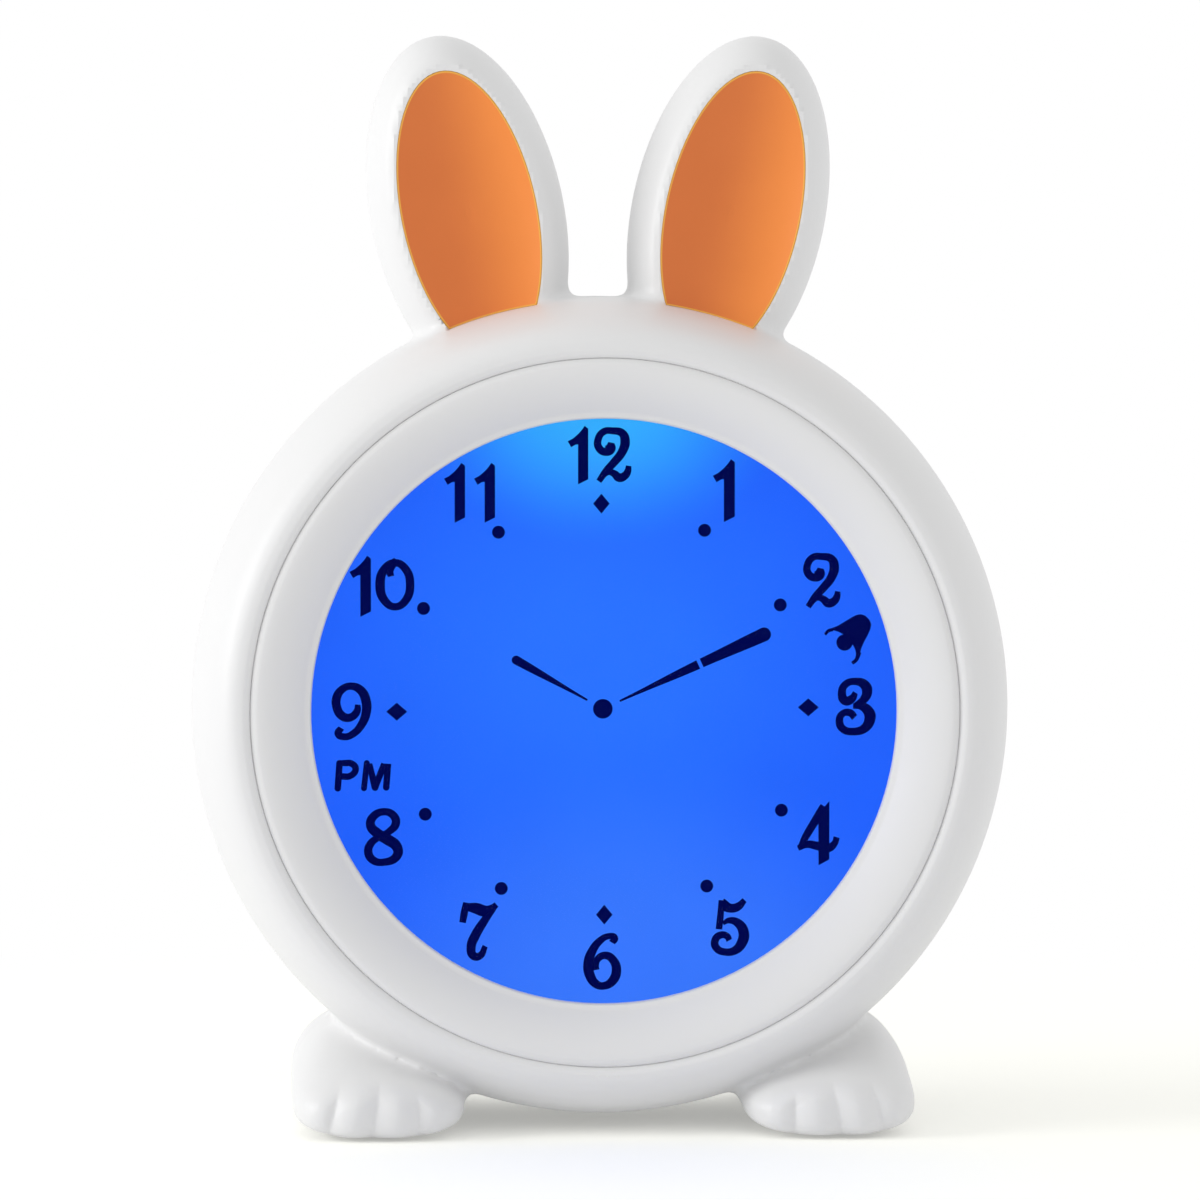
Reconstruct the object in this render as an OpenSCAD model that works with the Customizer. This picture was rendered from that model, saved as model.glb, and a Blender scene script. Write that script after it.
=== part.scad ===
// Children's bedside alarm clock with a night light: a round head with two lit ears and two paw feet.
// Every piece is drawn lying on its back, with the face towards +Z, the top of the head towards +Y and
// the parting line of the two casing halves at Z = 0. stand() then turns it upright on its feet.

/* [Head] */
// Radius of the part of the window that can be seen
window_r = 53.6; // [50:0.1:66]
// Width of the sloping ring between window and groove
bezel_w = 9.5; // [8:0.1:13]
// Drop of that ring from the groove down to the window
bezel_drop = 3.3; // [2:0.1:4]
// Width of the groove round the bezel ring
groove_w = 1.7; // [1:0.1:2.5]
// Width of the soft rim outside the groove
rim_w = 10.2; // [9:0.1:14]
// Height of the rim above the parting line
rim_front = 32; // [30:0.5:40]
// Depth of the back casing behind the parting line
back_depth = 30; // [29:0.5:37]
// Width of the rounded edge round the flat back
back_edge = 8.5; // [6:0.5:12]
// Thickness of the casing walls
wall = 2.2; // [1.8:0.1:2.6]
// Gap between the head and the floor
head_gap = 2; // [1:0.5:6]

/* [Ears] */
// Half of an ear's length
ear_half_h = 33.9; // [30:0.1:42]
// Half of an ear's width
ear_half_w = 17.8; // [16:0.1:21]
// Lean of each ear away from the middle, in degrees
ear_tilt = 12; // [6:0.5:16]
// Turn of each ear's middle round the head, in degrees
ear_spread = 14.8; // [13.5:0.1:18]
// How far an ear's end lies inside the head
ear_sink = 14.7; // [11:0.1:18]
// Height of an ear above the parting line
ear_front = 13; // [12:0.5:16]
// Depth of an ear behind the parting line
ear_back = 12; // [11:0.5:15]
// Width of the white edge at an ear's end
ear_edge_h = 7.2; // [6.5:0.1:9]
// Width of the white edge at an ear's side
ear_edge_w = 5.4; // [5:0.1:7]
// Depth of the dish in the lit panel
panel_dish = 4.2; // [2:0.1:5]

/* [Feet] */
// Distance from the middle to the inner side of each foot
foot_inner = 25.2; // [22:0.1:30]
// Width of each foot
foot_w = 31.8; // [30:0.1:38]
// Length of each foot in front of the parting line
foot_front = 36; // [34:0.5:42]
// Length of each foot behind the parting line
foot_back = 36; // [34:0.5:42]
// Height of the toes
toe_h = 10.5; // [9:0.1:12]
// Height of the instep
instep_h = 22.5; // [20:0.5:26]
// Radius of a rubber foot pad
pad_r = 5.5; // [4:0.1:7]
// How far the pads stand out of the feet
pad_proud = 0.5; // [0.3:0.1:1]

/* [Display] */
// Thickness of the clear window
window_t = 2; // [1.5:0.1:2.5]
// Thickness of the liquid crystal glass
lcd_t = 2; // [1.6:0.1:2.4]
// Thickness of the light guide
guide_t = 3; // [2:0.1:4]
// Thickness of each film in the stack
film_t = 0.3; // [0.2:0.05:0.4]
// Thickness of the frame round the display stack
frame_wall = 2; // [1.6:0.1:2.2]

/* [Keys] */
// Radius of a push button
button_r = 5; // [4:0.1:6]
// How far a button stands out of the back
button_proud = 1.6; // [1:0.1:2.5]
// Travel of a button
button_travel = 0.6; // [0.3:0.05:0.8]
// Distance of the button columns from the middle
button_x = 36; // [35:0.5:38]
// Height of the lowest buttons above the head's middle
button_y = 12; // [11.5:0.5:13]
// Distance from one button to the next
button_pitch = 14; // [13.5:0.5:14.5]
// Travel of the alarm switch
switch_travel = 3; // [2:0.1:3.2]

/* [Speaker] */
// Radius of the loudspeaker
speaker_r = 18; // [15:0.5:19]
// Height of the loudspeaker above the head's middle
speaker_y = 34; // [33:0.5:36]
// Travel of the cone each way
cone_travel = 0.3; // [0.1:0.05:0.4]

/* [Batteries] */
// Diameter of one cell
cell_d = 14.5; // [10.5:0.1:14.5]
// Length of one cell
cell_l = 50.5; // [44.5:0.1:50.5]
// Height of the middle cell, from the head's middle
cell_y = -24.5; // [-26:0.5:-24]

/* [Hidden] */
$fn = 96;

// Clearances
slack = 0.3;
loose = 0.4;
run = 0.07;
eps = 0.01;

// Head radii, from the window outwards
bezel_r = window_r + bezel_w;
rim_in_r = bezel_r + groove_w;
head_r = rim_in_r + rim_w;
crest_r = rim_in_r + 0.9;
gutter_r = rim_in_r + wall;
back_r = head_r - back_edge;
side_h = 6;
inner_r = head_r - wall;
gutter_angle = acos((gutter_r - crest_r) / (inner_r - crest_r));
foot_base = -(head_r + head_gap) + pad_proud;
head_z = head_r + head_gap;

// Heights of the display stack, from the window back to the circuit board
bezel_top = rim_front - 1.2;
ledge_front = bezel_top - bezel_drop - 1;
ledge_back = ledge_front - 1.6;
window_front = ledge_back - 0.4;
lcd_front = window_front - window_t;
diffuser_front = lcd_front - lcd_t;
guide_front = diffuser_front - film_t;
reflector_front = guide_front - guide_t;
tray_front = reflector_front - film_t;
tray_back = tray_front - frame_wall;
board_t = 1.6;
board_stand = 1.9;
board_front = tray_back - board_stand;
board_back = board_front - board_t;
lip_r = window_r + 3.7;
window_edge_r = window_r + 3.6;
tray_in_r = window_edge_r + loose;
tray_r = tray_in_r + frame_wall;
ledge_r = tray_in_r;
lcd_r = window_r + 2.6;
film_r = window_r + 2.2;
led_y = window_r - 2;
contact_y = -(window_r - 3.4);
board_posts = [[24, 15, 0], [-24, 15, 0], [24, -44, 0], [-24, -44, 0]];
headers = [[-12, 14, 0], [0, 14, 0], [12, 14, 0], [-26, -4, 0], [26, -4, 0], [26, -16, 0], [10, -48, 0]];
header_h = 5;
wire_r = 0.6;
plug_z = board_back - header_h + wire_r;

// Fixings
boss_ring = (ledge_r + gutter_r) / 2 + 0.9;
boss_r = 3.2;
shell_angles = [90, 15, 165, 245, 295];
tab_angles = [50, 130, 215, 325];
pilot_r = 1.3;
well_r = 3.3;
well_end = -6;
small_pilot_r = 0.9;
tab_boss = 6;
tab_t = 2;

// Back casing, keys and their boards
back_in = -back_depth + wall;
key_back = back_in + 12.2;
key_front = key_back + board_t;
tact_h = 3.5;
tact_side = 6;
tact_lid = 1;
plunger_r = 1.75;
plunger_tip = key_back - tact_h - button_travel - 0.9;
plunger_end = key_back - tact_lid - button_travel - loose;
key_board_w = 17;
key_board_low = -19;
key_board_high = button_y + 2 * button_pitch + 7;
side_x = 46;
switch_y = -11;
jack_y = -13;
knob_w = 3.4;
knob_h = 3;
jack_bore_r = 2.85;
jack_pin_r = 1;
jack_nose_r = 4.4;
jack_mouth_r = 3.4;
key_posts = [[button_x + 6.2, button_y + button_pitch / 2, 0],
    [button_x - 2, button_y + 2.5 * button_pitch + 4.5, 0], [side_x - 8, -4, 0]];
key_post_r = 2.4;

// Battery compartment
spring_l = 4.6;
contact_t = 0.5;
box_half_w = (cell_l + spring_l + 2 * contact_t + 1) / 2;
cell_gap = 0.8;
cell_pitch = cell_d + cell_gap;
cell_z = back_in + slack + cell_d / 2;
box_half_h = (3 * cell_d + 2 * cell_gap) / 2 + loose;
box_wall = 2;
door_lap = 2;
door_half_w = box_half_w + door_lap;
door_half_h = box_half_h + door_lap;
door_seat = 0.2;
box_floor = back_in + slack + cell_d + loose;
tongue_half_w = 7;
tongue_half_h = 5.7;
door_screw_y = cell_y + door_half_h + 3.4;
captive_r = 2.6;

// Loudspeaker
gasket_t = 0.8;
flange_t = 1;
basket_depth = 7;
magnet_r = 8;
magnet_h = 5;
cone_r = speaker_r - 3.8;
coil_r = 4.4;
speaker_screw_x = speaker_r + 2.8;
basket_back = back_in + gasket_t + flange_t;
basket_end = back_in + gasket_t + basket_depth;
grille_r = 1;
grille_pitch = 5;

ear_dist = head_r + ear_half_h - ear_sink;
panel_half_h = ear_half_h - ear_edge_h;
panel_half_w = ear_half_w - ear_edge_w;
ear_board_w = 9;
ear_board_l = 38;
ear_board_t = 1;
ear_posts = [-13, 15];

// Feet
pad_places = [0.55 * foot_front, -0.55 * foot_back];
toe_pitch = 8.6;
toe_fan = 13;
toe_groove_r = 1.9;

// ---- Helpers -------------------------------------------------------------------------------

module stand() {
    translate([0, 0, head_z]) rotate([90, 0, 0]) children();
}

module ear_place(side) {
    mirror([side < 0 ? 1 : 0, 0, 0])
        translate([ear_dist * sin(ear_spread), ear_dist * cos(ear_spread), 0])
            rotate([0, 0, -ear_tilt]) children();
}

module side_place(side) {
    mirror([side < 0 ? 1 : 0, 0, 0]) children();
}

// A cylinder along Z from one height to another
module post(r, low, high) {
    translate([0, 0, low]) cylinder(r = r, h = high - low);
}

// A tube along Z
module tube(r_out, r_in, low, high) {
    difference() {
        post(r_out, low, high);
        post(r_in, low - 1, high + 1);
    }
}

// A box given by its half sizes in X and Y and by two heights
module slab(half_x, half_y, low, high) {
    translate([-half_x, -half_y, low]) cube([2 * half_x, 2 * half_y, high - low]);
}

// A machine screw along Z with its head at the height z and its shank running towards dir
module screw(r, length, z, dir) {
    translate([0, 0, z]) mirror([0, 0, dir < 0 ? 1 : 0]) difference() {
        union() {
            cylinder(r = r, h = length);
            translate([0, 0, -1.1 * r]) cylinder(r = 1.85 * r, h = 1.1 * r);
        }
        translate([0, 0, -1.2 * r]) cylinder(r = 0.8 * r, h = 0.7 * r, $fn = 6);
    }
}

function ellipse(w, h, n) = [for (i = [0:n - 1]) [w * cos(360 * i / n), h * sin(360 * i / n)]];
function arc(cx, cy, rx, ry, from, to, n) =
    [for (i = [0:n]) let (t = from + (to - from) * i / n) [cx + rx * cos(t), cy + ry * sin(t)]];

// A thin slice of an ear, inset from the full outline
module ear_slice(z, inset) {
    translate([0, 0, z]) linear_extrude(eps) polygon(ellipse(ear_half_w - inset, ear_half_h - inset, 36));
}

module ear_prism(low, high, inset) {
    translate([0, 0, low]) linear_extrude(high - low)
        polygon(ellipse(ear_half_w - inset, ear_half_h - inset, 36));
}

// Outline of a foot, seen from the front: inset all round, with the top at a given height over the sole
// and a shoulder of its own on the outer and on the inner side
function foot_outline(inset, top, outer, inner) = let (
        left = foot_inner + inset, right = foot_inner + foot_w - inset,
        low = foot_base + inset, high = foot_base + top, r = 4.5 - 0.6 * inset)
    concat(arc(left + r, low + r, r, r, 180, 270, 5), arc(right - r, low + r, r, r, 270, 360, 5),
        arc(right - outer, high - outer * 0.8, outer, outer * 0.8, 0, 90, 8),
        arc(left + inner, high - inner, inner, inner, 90, 180, 6));

module foot_slice(z, inset, top, outer, inner) {
    translate([0, 0, z]) linear_extrude(eps) polygon(foot_outline(inset, top, outer, inner));
}

// Hollow inside a foot, with a flat sole and a slanted shoulder
module foot_hollow(low, high) {
    left = foot_inner + wall + 1;
    right = foot_inner + foot_w - wall - 1;
    sole = foot_base + wall + 0.8;
    top = foot_base + toe_h + 2.5;
    translate([0, 0, low]) linear_extrude(high - low)
        polygon([[left, sole], [right, sole], [right, top - 6], [right - 6, top], [left, top]]);
}

function unit(v) = v / norm(v);
function bezier(p, n) = [for (i = [0:n]) let (t = i / n, s = 1 - t)
    s * s * s * p[0] + 3 * s * s * t * p[1] + 3 * s * t * t * p[2] + t * t * t * p[3]];

// Component of v across the direction t, of unit length
function square_to(v, t) = unit(v - (v * t) * t);

// A round wire of radius r swept along a list of points; start is any direction across its first stretch
module wire(path, r, sides, start) {
    count = len(path);
    along = [for (i = [0:count - 1]) unit(path[min(i + 1, count - 1)] - path[max(i - 1, 0)])];
    across = [for (i = 0, v = square_to(start, along[0]); i < count;
        i = i + 1, v = square_to(v, along[min(i, count - 1)])) v];
    points = [for (i = [0:count - 1]) let (over = cross(along[i], across[i])) for (k = [0:sides - 1])
        path[i] + r * (cos(360 * k / sides) * across[i] + sin(360 * k / sides) * over)];
    polyhedron(points, ring_faces(count, sides));
}

// Faces of a closed skin over rings of points: triangles between the rings and a lid at each end
function ring_faces(count, sides) = concat(
    [for (i = [0:count - 2]) for (k = [0:sides - 1]) let (
            a = i * sides + k, b = i * sides + (k + 1) % sides)
        for (side = [[a, b + sides, b], [a, a + sides, b + sides]]) side],
    [[for (k = [0:sides - 1]) k]],
    [[for (k = [sides - 1:-1:0]) (count - 1) * sides + k]]);

// ---- Casing --------------------------------------------------------------------------------

// Cross-section of the front half of the head: outer side, crest, inner side and the ledge under the bezel
module rim_section() {
    edge = crest_r - rim_in_r;
    polygon(concat([[head_r, 0]],
        arc(crest_r, side_h, head_r - crest_r, rim_front - side_h, 0, 90, 14),
        arc(crest_r, rim_front - edge, edge, edge, 100, 180, 5),
        [[rim_in_r, ledge_front], [ledge_r, ledge_front], [ledge_r, ledge_back], [gutter_r, ledge_back]],
        arc(crest_r, side_h, inner_r - crest_r, rim_front - side_h - wall, gutter_angle, 0, 12),
        [[inner_r, 0]]));
}

module back_section() {
    polygon(concat([[0, -back_depth]],
        arc(back_r, -side_h, back_edge, back_depth - side_h, 270, 360, 12),
        [[head_r, 0], [0, 0]]));
}

module back_hollow() {
    polygon(concat([[0, back_in]],
        arc(back_r, -side_h, back_edge - wall, back_depth - side_h - wall, 270, 360, 12),
        [[inner_r, 1], [0, 1]]));
}

module ear_front_half() {
    hull() {
        ear_slice(0, 0);
        ear_slice(5, 0.2);
        ear_slice(ear_front - 4, 1.1);
        ear_slice(ear_front - 1.5, 2.9);
        ear_slice(ear_front - eps, 4.9);
    }
}

module ear_back_half() {
    hull() {
        ear_slice(-eps, 0);
        ear_slice(-5, 0.2);
        ear_slice(-ear_back + 3.2, 1.5);
        ear_slice(-ear_back + 0.9, 4);
        ear_slice(-ear_back, 7);
    }
}

module foot_front_half() {
    difference() {
        hull() {
            foot_slice(0, 0, instep_h, 12, 8);
            foot_slice(side_h, 0, instep_h - 0.5, 12, 8);
            foot_slice(foot_front - 6, 0.4, toe_h + 1.1, 5, 5);
            foot_slice(foot_front - 1.5, 1.4, toe_h - 0.9, 3, 3);
            foot_slice(foot_front - eps, 3.2, toe_h - 2.7, 1.5, 1.5);
        }
        post(crest_r, -1, foot_front + 1);
        for (k = [-1:1]) {
            translate([foot_inner + foot_w / 2 + k * toe_pitch, foot_base - 1, foot_front + 0.6])
                rotate([-90, 0, k * toe_fan]) cylinder(r = toe_groove_r, h = toe_h + 4, $fn = 24);
        }
    }
}

module foot_back_half() {
    difference() {
        hull() {
            foot_slice(-eps, 0, instep_h, 12, 8);
            foot_slice(-0.5 * foot_back, 0, instep_h - 1, 12, 8);
            foot_slice(-foot_back + 6, 0.8, toe_h + 6, 10, 7);
            foot_slice(-foot_back + 1.8, 2, toe_h + 3.4, 8, 6);
            foot_slice(-foot_back, 4, toe_h + 1, 6, 5);
        }
        post(back_r + 1.9, -foot_back - 1, 1);
    }
}

module pad_place(z) {
    translate([foot_inner + foot_w / 2, foot_base, z]) rotate([-90, 0, 0]) children();
}

// Everything inside the front half of the head, and the space in front of the ledge
module front_hollow() {
    polygon(concat([[0, -1], [inner_r, -1]],
        arc(crest_r, side_h, inner_r - crest_r, rim_front - side_h - wall, 0, gutter_angle, 12),
        [[gutter_r, ledge_back], [rim_in_r + wall / 2, ledge_back],
            [rim_in_r + wall / 2, foot_front + 1], [0, foot_front + 1]]));
}

module front_shell() {
    color("white") stand() difference() {
        union() {
            rotate_extrude() rim_section();
            difference() {
                union() {
                    for (side = [-1, 1]) {
                        ear_place(side) ear_front_half();
                        side_place(side) foot_front_half();
                    }
                }
                rotate_extrude() front_hollow();
            }
            for (angle = shell_angles) {
                rotate([0, 0, angle]) translate([boss_ring, 0, 0]) post(boss_r, 0, ledge_back + 0.5);
            }
            for (angle = tab_angles) {
                rotate([0, 0, angle]) translate([boss_ring, 0, 0])
                    post(boss_r - 0.4, ledge_back - tab_boss, ledge_back + 0.5);
            }
        }
        for (side = [-1, 1]) {
            ear_place(side) {
                ear_prism(-1, ear_front - 6, wall + 0.8);
                ear_prism(ear_front - 7, ear_front - wall - 0.4, wall + 2.1);
                difference() {
                    translate([0, 0, ear_front - 4]) linear_extrude(6)
                        polygon(ellipse(panel_half_w, panel_half_h, 36));
                    ear_head_cut(0);
                }
            }
            side_place(side) difference() {
                foot_hollow(-1, 0.5 * foot_front);
                post(inner_r - 0.5, -2, foot_front);
            }
            side_place(side) pad_place(pad_places[0]) post(pad_r + slack, -2, 0.8);
        }
        for (angle = shell_angles) {
            rotate([0, 0, angle]) translate([boss_ring, 0, 0]) post(pilot_r, -1, 16);
        }
        for (angle = tab_angles) {
            rotate([0, 0, angle]) translate([boss_ring, 0, 0])
                post(small_pilot_r, ledge_back - tab_boss - 1, ledge_back - 0.6);
        }
    }
}

module rear_shell() {
    color("white") stand() difference() {
        union() {
            difference() {
                union() {
                    rotate_extrude() back_section();
                    for (side = [-1, 1]) {
                        ear_place(side) ear_back_half();
                        side_place(side) foot_back_half();
                    }
                }
                rotate_extrude() back_hollow();
                for (side = [-1, 1]) {
                    ear_place(side) ear_prism(-ear_back + 5.4, 1, wall + 0.8);
                    ear_place(side) ear_prism(-ear_back + wall + 0.2, -ear_back + 6, wall + 2.6);
                    side_place(side) difference() {
                        foot_hollow(-0.6 * foot_back, 1);
                        post(back_r, -foot_back, -side_h);
                    }
                }
            }
            // Battery compartment and the seat of its door
            translate([0, cell_y, 0]) {
                slab(box_half_w + box_wall, box_half_h + box_wall, back_in - 0.5, box_floor + box_wall);
                slab(door_half_w + 3, door_half_h + 3, back_in - 0.5, back_in + 2);
            }
            translate([0, door_screw_y, 0]) {
                slab(tongue_half_w + 3, tongue_half_h + 3, back_in - 0.5, back_in + 2);
                post(3, back_in - 0.5, back_in + 9);
            }
            // Bosses of the casing screws
            for (angle = shell_angles) {
                rotate([0, 0, angle]) translate([boss_ring, 0, 0]) post(boss_r + 1.4, back_in - 0.5, 0);
            }
            // Low ring and two bosses that hold the loudspeaker
            translate([0, speaker_y, 0]) {
                tube(speaker_r + slack + 1.6, speaker_r + slack, back_in - 0.5, back_in + gasket_t + flange_t);
                for (x = [-1, 1]) {
                    translate([x * speaker_screw_x, 0, 0]) difference() {
                        post(2.6, back_in - 0.5, back_in + gasket_t + flange_t);
                        translate([-x * speaker_screw_x, 0, 0])
                            post(speaker_r + slack, back_in, back_in + 4);
                    }
                }
            }
            // Posts of the key boards
            for (side = [-1, 1]) {
                side_place(side) for (place = key_posts) {
                    translate(place) post(key_post_r, back_in - 0.5, key_back);
                }
                ear_place(side) for (y = ear_posts) {
                    translate([0, y, 0]) post(2, -ear_back + 1, -ear_board_t);
                }
            }
        }
        translate([0, cell_y, 0]) {
            slab(box_half_w, box_half_h, -back_depth - 1, box_floor);
            slab(door_half_w + slack, door_half_h + slack, -back_depth - 1, back_in);
        }
        translate([0, door_screw_y, 0]) {
            slab(tongue_half_w + slack, tongue_half_h + slack, -back_depth - 1, back_in);
            post(pilot_r, back_in - 1, back_in + 8);
        }
        for (angle = shell_angles) {
            rotate([0, 0, angle]) translate([boss_ring, 0, 0]) {
                post(well_r, -back_depth - 1, well_end);
                post(pilot_r + 0.4, -back_depth - 1, 1);
            }
        }
        for (side = [-1, 1]) {
            side_place(side) for (row = [0:2]) {
                translate([button_x, button_y + row * button_pitch, 0])
                    post(button_r + slack, -back_depth - 1, back_in + 1);
            }
            side_place(side) for (place = key_posts) {
                translate(place) post(small_pilot_r, key_back - 6, key_back + 1);
            }
            ear_place(side) for (y = ear_posts) {
                translate([0, y, 0]) post(small_pilot_r, -ear_board_t - 5, 1);
            }
            side_place(side) pad_place(pad_places[1]) post(pad_r + slack, -2, 0.8);
            translate([side * speaker_screw_x, speaker_y, 0])
                post(small_pilot_r, back_in - 1, back_in + 4);
        }
        // Holes of the loudspeaker grille
        translate([0, speaker_y, 0]) {
            post(grille_r, -back_depth - 1, back_in + 1);
            for (ring = [1, 2]) {
                for (k = [0:6 * ring - 1]) {
                    rotate([0, 0, 60 * k / ring]) translate([grille_pitch * ring, 0, 0])
                        post(grille_r, -back_depth - 1, back_in + 1);
                }
            }
        }
        // Slot of the alarm switch, on the side of the left board, and mouth of the power inlet
        translate([-side_x, switch_y, 0])
            slab(knob_w / 2 + switch_travel / 2 + loose, knob_h / 2 + loose, -back_depth - 1, back_in + 1);
        translate([side_x, jack_y, 0]) post(jack_mouth_r, -back_depth - 1, back_in + 1);
    }
}

// The ring's top falls in a shallow curve from its rounded outer edge to the lip round the window
module bezel_ring() {
    edge = groove_w - slack;
    lip = 0.5;
    span = bezel_w - lip;
    color("white") stand() rotate_extrude() polygon(concat(
        [[bezel_r + edge, ledge_front]],
        arc(bezel_r, bezel_top - edge, edge, edge, 0, 90, 5),
        [for (i = [1:10]) [bezel_r - span * i / 10, bezel_top - bezel_drop * pow(i / 10, 2)]],
        arc(window_r + lip, bezel_top - bezel_drop - lip, lip, lip, 110, 180, 4),
        [[window_r, window_front], [lip_r, window_front], [lip_r, ledge_front]]));
}

module foot_pads() {
    color("dimgray") stand() for (side = [-1, 1]) {
        for (z = pad_places) {
            side_place(side) pad_place(z) difference() {
                post(pad_r, -pad_proud, 0.8);
                tube(pad_r + 1, pad_r - 0.4, -pad_proud - 1, -pad_proud + 0.2);
            }
        }
    }
}

module shell_screws() {
    color("silver") stand() for (angle = shell_angles) {
        rotate([0, 0, angle]) translate([boss_ring, 0, 0]) screw(pilot_r, 16, well_end, 1);
    }
}

// ---- Display stack -------------------------------------------------------------------------

module display_window() {
    color("lightblue", 0.4) stand() rotate_extrude() polygon([[0, lcd_front],
        [window_edge_r, lcd_front], [window_edge_r, window_front - 0.3],
        [window_edge_r - 0.3, window_front], [0, window_front]]);
}

// Two glass plates; the front one is cut short at the bottom, where the contacts are
module lcd_panel() {
    color("royalblue") stand() difference() {
        post(lcd_r, diffuser_front, lcd_front);
        translate([0, -lcd_r, lcd_front - lcd_t / 2 + 5]) slab(lcd_r, lcd_r - window_r - 1, -5, 5);
    }
}

module diffuser_film() {
    color("white", 0.7) stand() film_disc(guide_front, diffuser_front);
}

// A disc that leaves room for the lamps at the top and for the contact strip at the bottom
module film_disc(low, high) {
    difference() {
        post(film_r, low, high);
        translate([0, led_y + film_r, 0]) slab(film_r, film_r, low - 1, high + 1);
        translate([0, contact_y - film_r, 0]) slab(film_r, film_r, low - 1, high + 1);
    }
}

module light_guide() {
    color("azure", 0.6) stand() film_disc(reflector_front, guide_front);
}

module reflector_sheet() {
    color("whitesmoke") stand() film_disc(tray_front, reflector_front);
}

module display_frame() {
    color("gainsboro") stand() difference() {
        union() {
            post(tray_r, tray_back, ledge_back);
            for (angle = tab_angles) {
                rotate([0, 0, angle]) translate([tray_r - 1, -4, ledge_back - tab_boss - tab_t])
                    cube([boss_ring + 4 - tray_r, 8, tab_t]);
            }
            for (place = board_posts) {
                translate(place) post(2.6, board_front, tray_back + 0.5);
            }
        }
        post(tray_in_r, tray_front, ledge_back + 1);
        for (angle = tab_angles) {
            rotate([0, 0, angle]) translate([boss_ring, 0, 0]) post(small_pilot_r + 0.3, 0, ledge_back);
        }
        for (place = board_posts) {
            translate(place) post(small_pilot_r, board_front - 1, tray_front - 0.6);
        }
        translate([0, contact_y - 1.6, 0]) slab(18.6, 1.7, tray_back - 3, tray_front + 1);
        // Windows for the leads of the lamp strip
        translate([0, led_y + 2.4, 0]) slab(3, 1, tray_back - 3, tray_front + 1);
    }
}

module frame_screws() {
    color("silver") stand() for (angle = tab_angles) {
        rotate([0, 0, angle]) translate([boss_ring, 0, 0])
            screw(small_pilot_r, tab_t + 4, ledge_back - tab_boss - tab_t, 1);
    }
}

module backlight_board() {
    color("seagreen") stand() translate([0, led_y + 2.2, 0])
        slab(16, 0.5, tray_front, guide_front);
}

module backlight_leds() {
    color("lemonchiffon") stand() for (x = [-9, 0, 9]) {
        translate([x, led_y + 0.95, 0]) difference() {
            slab(1.8, 0.75, reflector_front + 0.4, guide_front - 0.4);
            translate([0, -0.75, 0]) slab(1.4, 0.2, reflector_front + 0.8, guide_front - 0.8);
        }
    }
}

module lcd_connector() {
    color("dimgray") stand() translate([0, contact_y - 1.6, 0])
        slab(18, 1.2, board_front, diffuser_front);
}

// ---- Main board ----------------------------------------------------------------------------

module main_board() {
    color("seagreen") stand() difference() {
        translate([0, -17, 0]) slab(30, 36, board_back, board_front);
        for (place = board_posts) {
            translate(place) post(small_pilot_r + 0.3, board_back - 1, board_front + 1);
        }
    }
}

module board_screws() {
    color("silver") stand() for (place = board_posts) {
        translate(place) screw(small_pilot_r, board_t + 3, board_back, 1);
    }
}

module controller_chip() {
    color("black") stand() translate([-4, -22, 0]) {
        difference() {
            slab(6, 6, board_back - 1.8, board_back - 0.2);
            translate([-4.4, 4.4, 0]) post(0.7, board_back - 2.4, board_back - 1.6);
        }
        for (turn = [0:90:270]) {
            rotate([0, 0, turn]) for (k = [-5:5]) {
                translate([k, 6.4, 0]) slab(0.22, 0.9, board_back - 0.5, board_back);
            }
        }
    }
}

module board_components() {
    color("dimgray") stand() {
        // Storage capacitors
        for (place = [[20, -36, 0], [20, -27, 0], [-20, 4, 0]]) {
            translate(place) post(3.15, board_back - 7, board_back);
        }
        // Quartz crystal
        translate([-18, -26, 0]) slab(1.6, 4.2, board_back - 3, board_back);
        // Sound chip and lamp driver
        translate([12, -8, 0]) slab(3, 4, board_back - 1.6, board_back);
        translate([-20, -12, 0]) slab(2.4, 3, board_back - 1.6, board_back);
        // Chip resistors and capacitors
        for (k = [0:5]) {
            translate([-14 + 4 * k, -38, 0]) slab(0.8, 1.6, board_back - 0.7, board_back);
            translate([-12 + 4 * k, 2, 0]) slab(0.8, 1.6, board_back - 0.7, board_back);
        }
    }
}

module wire_headers() {
    color("ivory") stand() for (place = headers) {
        translate(place) difference() {
            slab(3.6, 2.4, board_back - header_h, board_back);
            slab(2.8, 1.6, board_back - header_h - 1, board_back - 1.5);
        }
    }
}

// ---- Ears ----------------------------------------------------------------------------------

// Dished lens, glued behind the opening by its flange: rings of an ellipse, from its back round its
// edge to the middle of the dish, each given by a height and an inset from the opening
module ear_panel() {
    top = ear_front - 0.7;
    skin = 1.4;
    step = ear_front - wall - 0.4;
    rings = [[top - panel_dish - skin, 5.5], [step - 1.2, 1.6], [step - 1.2, -0.9], [step, -0.9],
        [step, slack], [top, slack], [top, slack + 0.7], [top - 0.55 * panel_dish, 2.6],
        [top - 0.9 * panel_dish, 5], [top - panel_dish, 8]];
    sides = 36;
    difference() {
        polyhedron([for (ring = rings) for (point = ellipse(panel_half_w - ring[1], panel_half_h - ring[1], sides))
            [point[0], point[1], ring[0]]], ring_faces(len(rings), sides));
        ear_head_cut(slack);
    }
}

// The side of the head, as an ear meets it, grown by a gap
module ear_head_cut(gap) {
    rotate([0, 0, ear_tilt])
        translate([-ear_dist * sin(ear_spread), -ear_dist * cos(ear_spread), 0])
            post(head_r + gap, -ear_back, ear_front + 5);
}

module ear_panel_left() {
    color("darkorange") stand() ear_place(-1) ear_panel();
}

module ear_panel_right() {
    color("darkorange") stand() ear_place(1) ear_panel();
}

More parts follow.
